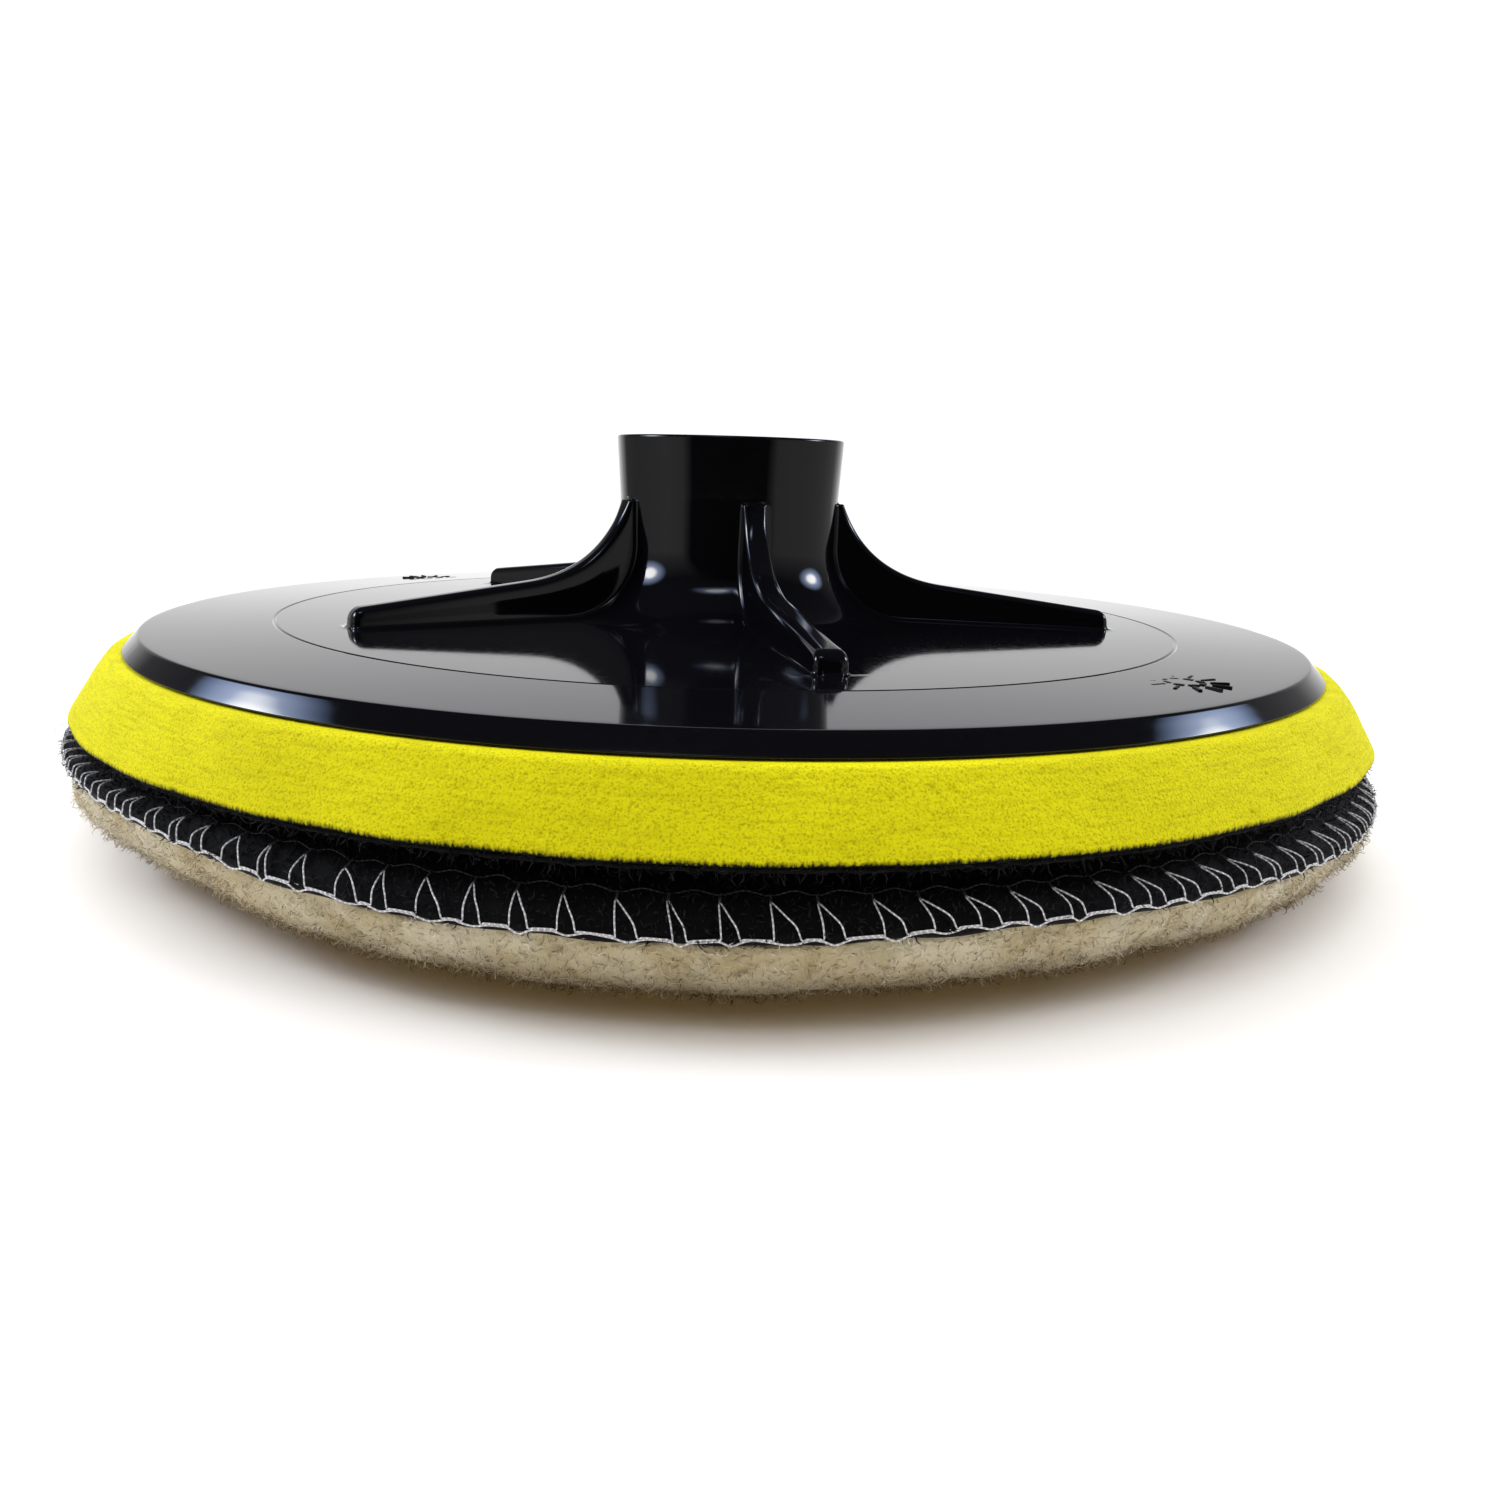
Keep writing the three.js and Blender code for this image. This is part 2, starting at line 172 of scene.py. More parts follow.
def shell(name: str, grid: np.ndarray) -> bpy.types.Object:
    """Makes a closed body of revolution, whose first and last rows close on the axis.

    Args:
        name: The piece's name.
        grid: Array of rows x columns x 3, from the lower pole outwards and up to the upper pole.

    Returns:
        The closed object.
    """
    rows, columns, _ = grid.shape
    points = grid.reshape(-1, 3)
    poles = np.array([[0, 0, grid[0, :, 2].mean()], [0, 0, grid[-1, :, 2].mean()]])
    faces = grid_faces(rows, columns, True)
    low, high = len(points), len(points) + 1
    top = (rows - 1) * columns
    for column in range(columns):
        after = (column + 1) % columns
        faces.append((low, after, column))
        faces.append((high, top + column, top + after))
    return make_object(name, np.vstack([points, poles]), faces)


def revolve(outline: Outline, angles: np.ndarray) -> np.ndarray:
    """Turns an outline about Z.

    Args:
        outline: The (radius, z) pairs, from the lower pole to the upper one.
        angles: Angles in radians.

    Returns:
        Array of rows x columns x 3.
    """
    line = np.asarray(outline)
    radius, height = line[:, :1], line[:, 1:]
    return np.stack([radius * np.cos(angles), radius * np.sin(angles),
                     np.broadcast_to(height, (len(line), len(angles)))], axis=2)


def full_turn(count: int) -> np.ndarray:
    """Gives evenly spaced angles for a whole turn."""
    return np.linspace(0, 2 * math.pi, count, endpoint=False)


def hexagon_radius(angles: np.ndarray, flats: float) -> np.ndarray:
    """Gives how far a hexagon's side lies from its middle at each angle.

    Args:
        angles: Angles in radians; the hexagon's flats face 0, 60 degrees and so on.
        flats: Size across the flats.

    Returns:
        The radii, in the unit of the size.
    """
    sixth = math.pi / 3
    folded = (angles + sixth / 2) % sixth - sixth / 2
    return flats / 2 / np.cos(folded)


def waves(along: np.ndarray, up: np.ndarray, seed: int, count: int, along_top: int, up_top: float) -> np.ndarray:
    """Sums sine waves that close on themselves round the axis, for gentle unevenness.

    Args:
        along: Angle about the axis in radians.
        up: Height or distance in millimetres.
        seed: Seed of the random phases.
        count: How many waves are summed.
        along_top: Most waves in one turn.
        up_top: Most radians in a millimetre of height.

    Returns:
        Values of about -1 to 1.
    """
    rng = np.random.default_rng(seed)
    total = np.zeros(np.broadcast(along, up).shape)
    for _ in range(count):
        turns = rng.integers(1, along_top)
        total = total + np.sin(turns * along + rng.uniform(-up_top, up_top) * up + rng.uniform(0, 2 * math.pi))
    return total / math.sqrt(count)


def merge_into(target: bpy.types.Object, others: list[bpy.types.Object], distance: float) -> None:
    """Joins other meshes to one object, merges touching vertices and turns the faces outwards.

    Args:
        target: The object that keeps the result.
        others: Objects whose meshes are added and that are then removed.
        distance: Vertices closer than this, in metres, become one; 0 leaves them.
    """
    joined = bmesh.new()
    joined.from_mesh(target.data)
    for other in others:
        joined.from_mesh(other.data)
        bpy.data.objects.remove(other)
    if distance:
        bmesh.ops.remove_doubles(joined, verts=joined.verts, dist=distance)
        bmesh.ops.recalc_face_normals(joined, faces=joined.faces)
    joined.to_mesh(target.data)
    joined.free()
    target.data.polygons.foreach_set("use_smooth", [True] * len(target.data.polygons))


# ---------------------------------------------------------------- geometry trees

class Rule:
    """A geometry node tree with named inputs that is run once and leaves a plain mesh."""

    def __init__(self, name: str, sockets: dict[str, str]) -> None:
        """Starts a tree.

        Args:
            name: The tree's name.
            sockets: Name and socket type of each input, beside the geometry and the material.
        """
        self.tree = bpy.data.node_groups.new(name, "GeometryNodeTree")
        face = self.tree.interface
        face.new_socket("Geometry", in_out="INPUT", socket_type="NodeSocketGeometry")
        for label, kind in sockets.items():
            face.new_socket(label, in_out="INPUT", socket_type=kind)
        face.new_socket("Finish", in_out="INPUT", socket_type="NodeSocketMaterial")
        face.new_socket("Geometry", in_out="OUTPUT", socket_type="NodeSocketGeometry")
        self.given = self.tree.nodes.new("NodeGroupInput").outputs

    def end(self, geometry: bpy.types.NodeSocket) -> None:
        """Closes the tree: instances become mesh, and the mesh gets its material."""
        real = add(self.tree, "GeometryNodeRealizeInstances", {"Geometry": geometry})
        smooth = add(self.tree, "GeometryNodeSetShadeSmooth", {0: real.outputs[0]})
        dressed = add(self.tree, "GeometryNodeSetMaterial",
                      {"Geometry": smooth.outputs[0], "Material": self.given["Finish"]})
        out = self.tree.nodes.new("NodeGroupOutput")
        self.tree.links.new(dressed.outputs[0], out.inputs[0])

    def run(self, name: str, carrier: bpy.types.Object | None, finish: bpy.types.Material,
            **values: object) -> bpy.types.Object:
        """Runs the tree and keeps the result as a plain mesh object.

        Args:
            name: Name of the new object.
            carrier: Object whose mesh is the tree's geometry, or None.
            finish: Material of the result.
            **values: Values of the named inputs, with _ for a space.

        Returns:
            The new object, without modifiers.
        """
        mesh = carrier.data.copy() if carrier else bpy.data.meshes.new(name)
        host = bpy.data.objects.new(name, mesh)
        bpy.context.scene.collection.objects.link(host)
        modifier = host.modifiers.new("rule", "NODES")
        modifier.node_group = self.tree
        wanted = {label.replace("_", " "): value for label, value in values.items()}
        wanted["Finish"] = finish
        for item in self.tree.interface.items_tree:
            if item.in_out == "INPUT" and item.name in wanted:
                modifier[item.identifier] = wanted[item.name]
        graph = bpy.context.evaluated_depsgraph_get()
        result = bpy.data.meshes.new_from_object(host.evaluated_get(graph),
                                                 preserve_all_data_layers=True, depsgraph=graph)
        host.modifiers.remove(modifier)
        host.data = result
        result.name = name
        return host


def ring_rule() -> Rule:
    """Builds the tree that repeats a shape round the Z axis and closes the joins."""
    rule = Rule("copies round the axis", {"Count": "NodeSocketInt", "First angle": "NodeSocketFloat",
                                          "Merge distance": "NodeSocketFloat"})
    tree, given = rule.tree, rule.given
    points = add(tree, "GeometryNodePoints", {"Count": given["Count"]})
    index = add(tree, "GeometryNodeInputIndex")
    step = add(tree, "ShaderNodeMath", {0: 2 * math.pi, 1: given["Count"]}, operation="DIVIDE")
    turn = add(tree, "ShaderNodeMath", {0: index.outputs[0], 1: step.outputs[0], 2: given["First angle"]},
               operation="MULTIPLY_ADD")
    euler = add(tree, "ShaderNodeCombineXYZ", {"Z": turn.outputs[0]})
    rotation = add(tree, "FunctionNodeEulerToRotation", {0: euler.outputs[0]})
    copies = add(tree, "GeometryNodeInstanceOnPoints", {"Points": points.outputs[0],
                                                        "Instance": given["Geometry"],
                                                        "Rotation": rotation.outputs[0]})
    real = add(tree, "GeometryNodeRealizeInstances", {"Geometry": copies.outputs[0]})
    whole = add(tree, "GeometryNodeMergeByDistance",
                {"Geometry": real.outputs[0], "Distance": given["Merge distance"]})
    rule.end(whole.outputs[0])
    return rule


def fibre_rule() -> Rule:
    """Builds the tree that plants a fibre all over a surface, leaning and turned at random."""
    rule = Rule("planted fibres", {"Density": "NodeSocketFloat", "Seed": "NodeSocketInt",
                                   "Fibre": "NodeSocketObject", "Shortest": "NodeSocketFloat",
                                   "Longest": "NodeSocketFloat", "Lean": "NodeSocketFloat"})
    tree, given = rule.tree, rule.given
    share = add(tree, "GeometryNodeInputNamedAttribute", {"Name": "share"}, data_type="FLOAT")
    density = add(tree, "ShaderNodeMath", {0: share.outputs[0], 1: given["Density"]}, operation="MULTIPLY")
    planted = add(tree, "GeometryNodeDistributePointsOnFaces",
                  {"Mesh": given["Geometry"], "Density": density.outputs[0], "Seed": given["Seed"]})
    fibre = add(tree, "GeometryNodeObjectInfo", {"Object": given["Fibre"]})
    minus = add(tree, "ShaderNodeMath", {0: given["Lean"], 1: -1.0}, operation="MULTIPLY")
    least = add(tree, "ShaderNodeCombineXYZ", {"X": minus.outputs[0], "Y": minus.outputs[0], "Z": -math.pi})
    most = add(tree, "ShaderNodeCombineXYZ", {"X": given["Lean"], "Y": given["Lean"], "Z": math.pi})
    lean = add(tree, "FunctionNodeRandomValue", {0: least.outputs[0], 1: most.outputs[0], "Seed": given["Seed"]},
               data_type="FLOAT_VECTOR")
    leaning = add(tree, "FunctionNodeEulerToRotation", {0: lean.outputs[0]})
    rotation = add(tree, "FunctionNodeRotateRotation",
                   {0: planted.outputs["Rotation"], 1: leaning.outputs[0]}, rotation_space="LOCAL")
    size = add(tree, "FunctionNodeRandomValue", {2: given["Shortest"], 3: given["Longest"], "Seed": given["Seed"]},
               data_type="FLOAT")
    copies = add(tree, "GeometryNodeInstanceOnPoints",
                 {"Points": planted.outputs[0], "Instance": fibre.outputs["Geometry"],
                  "Rotation": rotation.outputs[0], "Scale": size.outputs[1]})
    rule.end(copies.outputs[0])
    return rule


def thread_rule() -> Rule:
    """Builds the tree that lays a round thread along a path, smoothly through its points."""
    rule = Rule("thread along a path", {"Thread radius": "NodeSocketFloat", "Step": "NodeSocketFloat"})
    tree, given = rule.tree, rule.given
    path = add(tree, "GeometryNodeMeshToCurve", {"Mesh": given["Geometry"]})
    smooth = add(tree, "GeometryNodeCurveSplineType", {"Curve": path.outputs[0]}, spline_type="CATMULL_ROM")
    even = add(tree, "GeometryNodeResampleCurve", {"Curve": smooth.outputs[0], "Length": given["Step"]},
               mode="LENGTH")
    where = add(tree, "GeometryNodeSplineParameter")
    marked = add(tree, "GeometryNodeStoreNamedAttribute",
                 {"Geometry": even.outputs[0], "Name": "along", "Value": where.outputs["Length"]},
                 data_type="FLOAT", domain="POINT")
    section = add(tree, "GeometryNodeCurvePrimitiveCircle", {"Resolution": 6, "Radius": given["Thread radius"]})
    tube = add(tree, "GeometryNodeCurveToMesh",
               {"Curve": marked.outputs[0], "Profile Curve": section.outputs[0], "Fill Caps": True})
    rule.end(tube.outputs[0])
    return rule


def hook_rule() -> Rule:
    """Builds the tree that sets hooks in rows over a disc, all pointing down."""
    rule = Rule("rows of hooks", {"Spacing": "NodeSocketFloat", "Reach": "NodeSocketFloat",
                                  "Level": "NodeSocketFloat", "Hook": "NodeSocketObject", "Seed": "NodeSocketInt"})
    tree, given = rule.tree, rule.given
    width = add(tree, "ShaderNodeMath", {0: given["Reach"], 1: 2.0}, operation="MULTIPLY")
    count = add(tree, "ShaderNodeMath", {0: width.outputs[0], 1: given["Spacing"]}, operation="DIVIDE")
    field = add(tree, "GeometryNodeMeshGrid", {"Size X": width.outputs[0], "Size Y": width.outputs[0],
                                               "Vertices X": count.outputs[0], "Vertices Y": count.outputs[0]})
    place = add(tree, "GeometryNodeInputPosition")
    away = add(tree, "ShaderNodeVectorMath", {0: place.outputs[0]}, operation="LENGTH")
    outside = add(tree, "FunctionNodeCompare", {0: away.outputs["Value"], 1: given["Reach"]},
                  operation="GREATER_THAN", data_type="FLOAT")
    points = add(tree, "GeometryNodeMeshToPoints", {"Mesh": field.outputs[0]})
    inside = add(tree, "GeometryNodeDeleteGeometry", {0: points.outputs[0], 1: outside.outputs[0]},
                 domain="POINT")
    shift = add(tree, "FunctionNodeRandomValue", {0: (-0.00025,) * 3, 1: (0.00025,) * 3, "Seed": given["Seed"]},
                data_type="FLOAT_VECTOR")
    flat = add(tree, "ShaderNodeVectorMath", {0: shift.outputs[0], 1: (1, 1, 0)}, operation="MULTIPLY")
    lift = add(tree, "ShaderNodeCombineXYZ", {"Z": given["Level"]})
    offset = add(tree, "ShaderNodeVectorMath", {0: flat.outputs[0], 1: lift.outputs[0]}, operation="ADD")
    placed = add(tree, "GeometryNodeSetPosition", {"Geometry": inside.outputs[0], "Offset": offset.outputs[0]})
    hook = add(tree, "GeometryNodeObjectInfo", {"Object": given["Hook"]})
    turn = add(tree, "FunctionNodeRandomValue", {0: (-0.15, -0.15, -math.pi), 1: (0.15, 0.15, math.pi),
                                                 "Seed": given["Seed"]}, data_type="FLOAT_VECTOR")
    rotation = add(tree, "FunctionNodeEulerToRotation", {0: turn.outputs[0]})
    copies = add(tree, "GeometryNodeInstanceOnPoints", {"Points": placed.outputs[0],
                                                        "Instance": hook.outputs["Geometry"],
                                                        "Rotation": rotation.outputs[0]})
    rule.end(copies.outputs[0])
    return rule


# ---------------------------------------------------------------- finishes

def per_mm(size: float) -> float:
    """Gives a pattern's scale for patches of a size in millimetres."""
    return 1 / (size * MM)


class Surface:
    """A material under construction: its tree, its object coordinates and its shader."""

    def __init__(self, name: str, colour: str, roughness: float, **shader: object) -> None:
        """Starts a material.

        Args:
            name: The material's name.
            colour: Base colour as sRGB hex.
            roughness: Base roughness.
            **shader: Other inputs of the shader, with _ for a space.
        """
        self.material = bpy.data.materials.new(name)
        self.material.use_nodes = True
        self.tree = self.material.node_tree
        self.tree.nodes.clear()
        inputs = {"Base Color": linear(colour), "Roughness": roughness}
        inputs.update({key.replace("_", " "): value for key, value in shader.items()})
        self.shader = add(self.tree, "ShaderNodeBsdfPrincipled", inputs)
        add(self.tree, "ShaderNodeOutputMaterial", {"Surface": self.shader.outputs[0]})
        self.place = add(self.tree, "ShaderNodeTexCoord").outputs["Object"]

    def drive(self, **sockets: bpy.types.NodeSocket) -> bpy.types.Material:
        """Links sockets to the shader and hands over the material."""
        for key, socket in sockets.items():
            self.tree.links.new(socket, self.shader.inputs[key.replace("_", " ")])
        return self.material


@dataclass(frozen=True)
class MouldedGloss:
    """Black polypropylene from a polished mould: near-black body, sharp reflections, faint flow waves."""

    colour: str = "#09090d"
    roughness: float = 0.045
    duller: float = 0.1
    wave_size: float = 14.0
    wave_depth: float = 0.006
    scuff_size: float = 1.1

    def material(self) -> bpy.types.Material:
        """Builds the material: slow waves in the face, and faint dulling from handling."""
        surface = Surface("moulded black polypropylene", self.colour, self.roughness, IOR=1.49)
        tree, place = surface.tree, surface.place
        scuffs = add(tree, "ShaderNodeTexNoise", {"Vector": place, "Scale": per_mm(self.scuff_size), "Detail": 6.0})
        dull = add(tree, "ShaderNodeMapRange", {"Value": scuffs.outputs["Fac"], "To Min": self.roughness / 2,
                                                "To Max": self.duller})
        flow = add(tree, "ShaderNodeTexNoise", {"Vector": place, "Scale": per_mm(self.wave_size), "Detail": 1.0})
        waved = add(tree, "ShaderNodeBump", {"Height": flow.outputs["Fac"], "Distance": self.wave_depth * MM})
        return surface.drive(Roughness=dull.outputs[0], Normal=waved.outputs[0])


@dataclass(frozen=True)
class MarkSatin:
    """The same plastic where the mould is left matt on a stamped mark."""

    colour: str = "#050507"
    roughness: float = 0.42
    duller: float = 0.62
    grain_size: float = 0.25
    grain_depth: float = 0.03

    def material(self) -> bpy.types.Material:
        """Builds the material: a matt black with a fine spark-eroded grain."""
        surface = Surface("matt moulded mark", self.colour, self.roughness, IOR=1.4)
        tree = surface.tree
        grain = add(tree, "ShaderNodeTexNoise", {"Vector": surface.place, "Scale": per_mm(self.grain_size)})
        dull = add(tree, "ShaderNodeMapRange", {"Value": grain.outputs["Fac"], "To Min": self.roughness,
                                                "To Max": self.duller})
        rough = add(tree, "ShaderNodeBump", {"Height": grain.outputs["Fac"], "Distance": self.grain_depth * MM})
        return surface.drive(Roughness=dull.outputs[0], Normal=rough.outputs[0])


@dataclass(frozen=True)
class TurnedSteel:
    """Zinc-plated carbon steel: bluish grey metal with turning marks and a slightly cloudy plating."""

    dark: str = "#a9a89f"
    light: str = "#c6c5bd"
    roughness: float = 0.22
    duller: float = 0.42
    cloud_size: float = 3.0
    mark_pitch: float = 0.3
    mark_depth: float = 0.01

    def material(self) -> bpy.types.Material:
        """Builds the material: fine rings from the lathe and cloudy patches in the plating."""
        surface = Surface("zinc-plated turned steel", self.light, self.roughness, Metallic=1.0)
        tree, place = surface.tree, surface.place
        cloud = add(tree, "ShaderNodeTexNoise", {"Vector": place, "Scale": per_mm(self.cloud_size), "Detail": 4.0})
        tint = add(tree, "ShaderNodeValToRGB", {"Fac": cloud.outputs["Fac"]},
                   stops=[(0.3, self.dark), (0.7, self.light)])
        dull = add(tree, "ShaderNodeMapRange", {"Value": cloud.outputs["Fac"], "To Min": self.roughness,
                                                "To Max": self.duller})
        # One ring of the wave pattern is a twentieth of its scale's unit.
        rings = add(tree, "ShaderNodeTexWave", {"Vector": place, "Scale": per_mm(self.mark_pitch) / 20,
                                                "Distortion": 0.6}, wave_type="RINGS", rings_direction="Z")
        marks = add(tree, "ShaderNodeBump", {"Height": rings.outputs["Fac"], "Distance": self.mark_depth * MM})
        return surface.drive(Base_Color=tint.outputs[0], Roughness=dull.outputs[0], Normal=marks.outputs[0])


@dataclass(frozen=True)
class ClosedCellFoam:
    """Yellow closed-cell polyethylene foam, sliced: matt, full of fine cells, with faint knife streaks."""

    colour: str = "#ece50e"
    deep: str = "#ddd508"
    # Painted shade colour of the open cell mouths.
    mouth: str = "#958d09"
    streak: str = "#d9d6a8"
    roughness: float = 0.82
    cell: float = 0.42
    grain: float = 0.22
    streak_size: float = 5.0
    fade_size: float = 30.0
    lint: str = "#15150a"
    lint_height: float = 0.5

    def material(self) -> bpy.types.Material:
        """Builds the material: painted shade as dark dots in the cell mouths, streaks from the knife and slow fading.
        """
        surface = Surface("yellow closed-cell foam", self.colour, self.roughness, Specular_IOR_Level=0.1)
        tree, place = surface.tree, surface.place
        fading = add(tree, "ShaderNodeTexNoise", {"Vector": place, "Scale": per_mm(self.fade_size)})
        body = add(tree, "ShaderNodeValToRGB", {"Fac": fading.outputs["Fac"]},
                   stops=[(0.3, self.deep), (0.7, self.colour)])
        # Drawn a little coarser than the real cells, which are about 0.15 mm across.
        grain = add(tree, "ShaderNodeTexNoise", {"Vector": place, "Scale": per_mm(self.grain)})
        # Painted shade: dark dots where shade falls in the open cell mouths.
        dots = add(tree, "ShaderNodeValToRGB", {"Fac": grain.outputs["Fac"]},
                   stops=[(0.33, self.mouth), (0.5, "#ffffff")])
        speckled = add(tree, "ShaderNodeMix", {0: 0.5, 6: body.outputs[0], 7: dots.outputs[0]},
                       data_type="RGBA", blend_type="MULTIPLY")
        flat = add(tree, "ShaderNodeVectorMath", {0: place, 1: (1, 1, 14)}, operation="MULTIPLY")
        streaks = add(tree, "ShaderNodeTexNoise", {"Vector": flat.outputs[0], "Scale": per_mm(self.streak_size),
                                                   "Detail": 3.0})
        lines = add(tree, "ShaderNodeValToRGB", {"Fac": streaks.outputs["Fac"]},
                    stops=[(0.25, self.streak), (0.55, "#ffffff")])
        streaked = add(tree, "ShaderNodeMix", {0: 0.5, 6: speckled.outputs[2], 7: lines.outputs[0]},
                       data_type="RGBA", blend_type="MULTIPLY")
        # Black fuzz from the hook tape clings to the foam's lowest edge.
        upright = add(tree, "ShaderNodeVectorMath", {0: place, 1: (1, 1, 0.3)}, operation="MULTIPLY")
        fuzz = add(tree, "ShaderNodeTexNoise", {"Vector": upright.outputs[0], "Scale": per_mm(0.3), "Detail": 4.0})
        reach = add(tree, "ShaderNodeMath", {0: fuzz.outputs["Fac"], 1: self.lint_height * 2 * MM,
                                             2: (levels("foam_cushion")[0] - self.lint_height * 0.55) * MM},
                    operation="MULTIPLY_ADD")
        height = add(tree, "ShaderNodeSeparateXYZ", {0: place})
        above = add(tree, "ShaderNodeMath", {0: height.outputs["Z"], 1: reach.outputs[0]}, operation="SUBTRACT")
        clean = add(tree, "ShaderNodeMapRange", {"Value": above.outputs[0], "From Min": -0.1 * MM,
                                                 "From Max": 0.35 * MM})
        edged = add(tree, "ShaderNodeMix", {0: clean.outputs[0], 6: linear(self.lint), 7: streaked.outputs[2]},
                    data_type="RGBA")
        cells = add(tree, "ShaderNodeTexVoronoi", {"Vector": place, "Scale": per_mm(self.cell)})
        relief = add(tree, "ShaderNodeBump", {"Height": cells.outputs["Distance"], "Distance": 0.12 * MM,
                                              "Strength": 0.6})
        rough = add(tree, "ShaderNodeBump", {"Height": grain.outputs["Fac"], "Distance": 0.1 * MM, "Strength": 0.5,
                                             "Normal": relief.outputs[0]})
        return surface.drive(Base_Color=edged.outputs[2], Normal=rough.outputs[0])


@dataclass(frozen=True)
class BlackTextile:
    """Black polyamide cloth or fibre: almost no light from the body, with a painted grey highlight along the fibres
    towards their tips.
    """

    name: str
    root: str = "#040405"
    # Painted highlight: the grey that the fibre tips take as they catch the light.
    tip: str = "#2b282f"
    patch: str = "#6c6c78"
    weave: float = 0.55

    def material(self) -> bpy.types.Material:
        """Builds the material: fibres painted lighter towards the tip as a painted highlight, over a coarse woven
        relief.
        """
        surface = Surface(self.name, self.root, 0.85, Sheen_Weight=0.08, Sheen_Roughness=0.4,
                          Specular_IOR_Level=0.2)
        tree, place = surface.tree, surface.place
        # Painted highlight: colour runs from the near-black root to the painted grey at the tip.
        tip = add(tree, "ShaderNodeAttribute", attribute_name="tip")
        colour = add(tree, "ShaderNodeValToRGB", {"Fac": tip.outputs["Fac"]},
                     stops=[(0.1, self.root), (1.0, self.tip)])
        mottle = add(tree, "ShaderNodeTexNoise", {"Vector": place, "Scale": per_mm(1.4), "Detail": 3.0})
        patches = add(tree, "ShaderNodeValToRGB", {"Fac": mottle.outputs["Fac"]},
                      stops=[(0.3, self.patch), (0.62, "#ffffff")])
        mixed = add(tree, "ShaderNodeMix", {0: 0.85, 6: colour.outputs[0], 7: patches.outputs[0]},
                    data_type="RGBA", blend_type="MULTIPLY")
        threads = add(tree, "ShaderNodeTexVoronoi", {"Vector": place, "Scale": per_mm(self.weave)})
        woven = add(tree, "ShaderNodeBump", {"Height": threads.outputs["Distance"], "Distance": 0.1 * MM,
                                             "Strength": 0.5})
        return surface.drive(Base_Color=mixed.outputs[2], Normal=woven.outputs[0])


@dataclass(frozen=True)
class WoolFibre:
    """Washed lambswool: cream, matt and soft, with painted shade towards the fibre roots, in random patches from lock
    to lock and towards the bottom of the pad.
    """

    root: str = "#d0c4a2"
    middle: str = "#efe7d1"
    tip: str = "#fdf8ea"
    lock_shade: str = "#e4dac0"
    # Painted shade colour at the bottom of the pad.
    painted_low_shade: str = "#9c8b68"
    lock: float = 6.0

    def material(self) -> bpy.types.Material:
        """Builds the material: painted shade from root to tip, painted shade in random patches from lock to lock, and
        painted shade towards the bottom.
        """
        surface = Surface("cream lambswool", self.tip, 0.9, Sheen_Weight=0.3, Sheen_Roughness=0.5,
                          Specular_IOR_Level=0.2)
        tree, place = surface.tree, surface.place
        # Painted shade: the fibres are painted darker towards their roots, down in the pile where shade falls.
        tip = add(tree, "ShaderNodeAttribute", attribute_name="tip")
        colour = add(tree, "ShaderNodeValToRGB", {"Fac": tip.outputs["Fac"]},
                     stops=[(0.0, self.root), (0.4, self.middle), (1.0, self.tip)])
        # Painted shade: random patches painted darker, standing for shade between the locks.
        locks = add(tree, "ShaderNodeTexNoise", {"Vector": place, "Scale": per_mm(self.lock), "Detail": 4.0})
        shade = add(tree, "ShaderNodeValToRGB", {"Fac": locks.outputs["Fac"]},
                    stops=[(0.35, self.lock_shade), (0.6, "#ffffff")])
        mixed = add(tree, "ShaderNodeMix", {0: 0.85, 6: colour.outputs[0], 7: shade.outputs[0]},
                    data_type="RGBA", blend_type="MULTIPLY")
        # Painted shade: the wool is painted darker towards the bottom of the pad and lighter near the stitching, where
        # more light falls.
        height = add(tree, "ShaderNodeSeparateXYZ", {0: place})
        rise = add(tree, "ShaderNodeMapRange", {"Value": height.outputs["Z"], "From Min": 2.0 * MM,
                                                "From Max": 8.5 * MM}, interpolation_type="SMOOTHSTEP")
        painted_height_shade = add(tree, "ShaderNodeValToRGB", {"Fac": rise.outputs[0]},
                   stops=[(0.0, self.painted_low_shade), (1.0, "#ffffff")])
        shaded_wool_colour = add(tree, "ShaderNodeMix", {0: 1.0, 6: mixed.outputs[2], 7: painted_height_shade.outputs[0]},
                   data_type="RGBA", blend_type="MULTIPLY")
        fuzz = add(tree, "ShaderNodeTexNoise", {"Vector": place, "Scale": per_mm(0.5), "Detail": 5.0})
        soft = add(tree, "ShaderNodeBump", {"Height": fuzz.outputs["Fac"], "Distance": 0.35 * MM, "Strength": 0.7})
        return surface.drive(Base_Color=shaded_wool_colour.outputs[2], Normal=soft.outputs[0])


@dataclass(frozen=True)
class PolyesterThread:
    """Spun polyester sewing thread, slightly lustrous, with the twist of its plies."""

    name: str
    colour: str = "#f3f2f0"
    shade: str = "#c2c1c6"
    ply: float = 0.55

    def material(self) -> bpy.types.Material:
        """Builds the material: a shadow at each turn of the plies, along the thread."""
        surface = Surface(self.name, self.colour, 0.5, Sheen_Weight=0.2, Sheen_Roughness=0.35)
        tree = surface.tree
        along = add(tree, "ShaderNodeAttribute", attribute_name="along")
        turns = add(tree, "ShaderNodeMath", {0: along.outputs["Fac"], 1: 2 * math.pi * per_mm(self.ply)},
                    operation="MULTIPLY")
        twist = add(tree, "ShaderNodeMath", {0: turns.outputs[0]}, operation="SINE")
        plies = add(tree, "ShaderNodeValToRGB", {"Fac": twist.outputs[0]},
                    stops=[(0.0, self.shade), (0.8, self.colour)])
        round_plies = add(tree, "ShaderNodeBump", {"Height": twist.outputs[0], "Distance": 0.03 * MM,
                                                   "Strength": 0.5})
        return surface.drive(Base_Color=plies.outputs[0], Normal=round_plies.outputs[0])


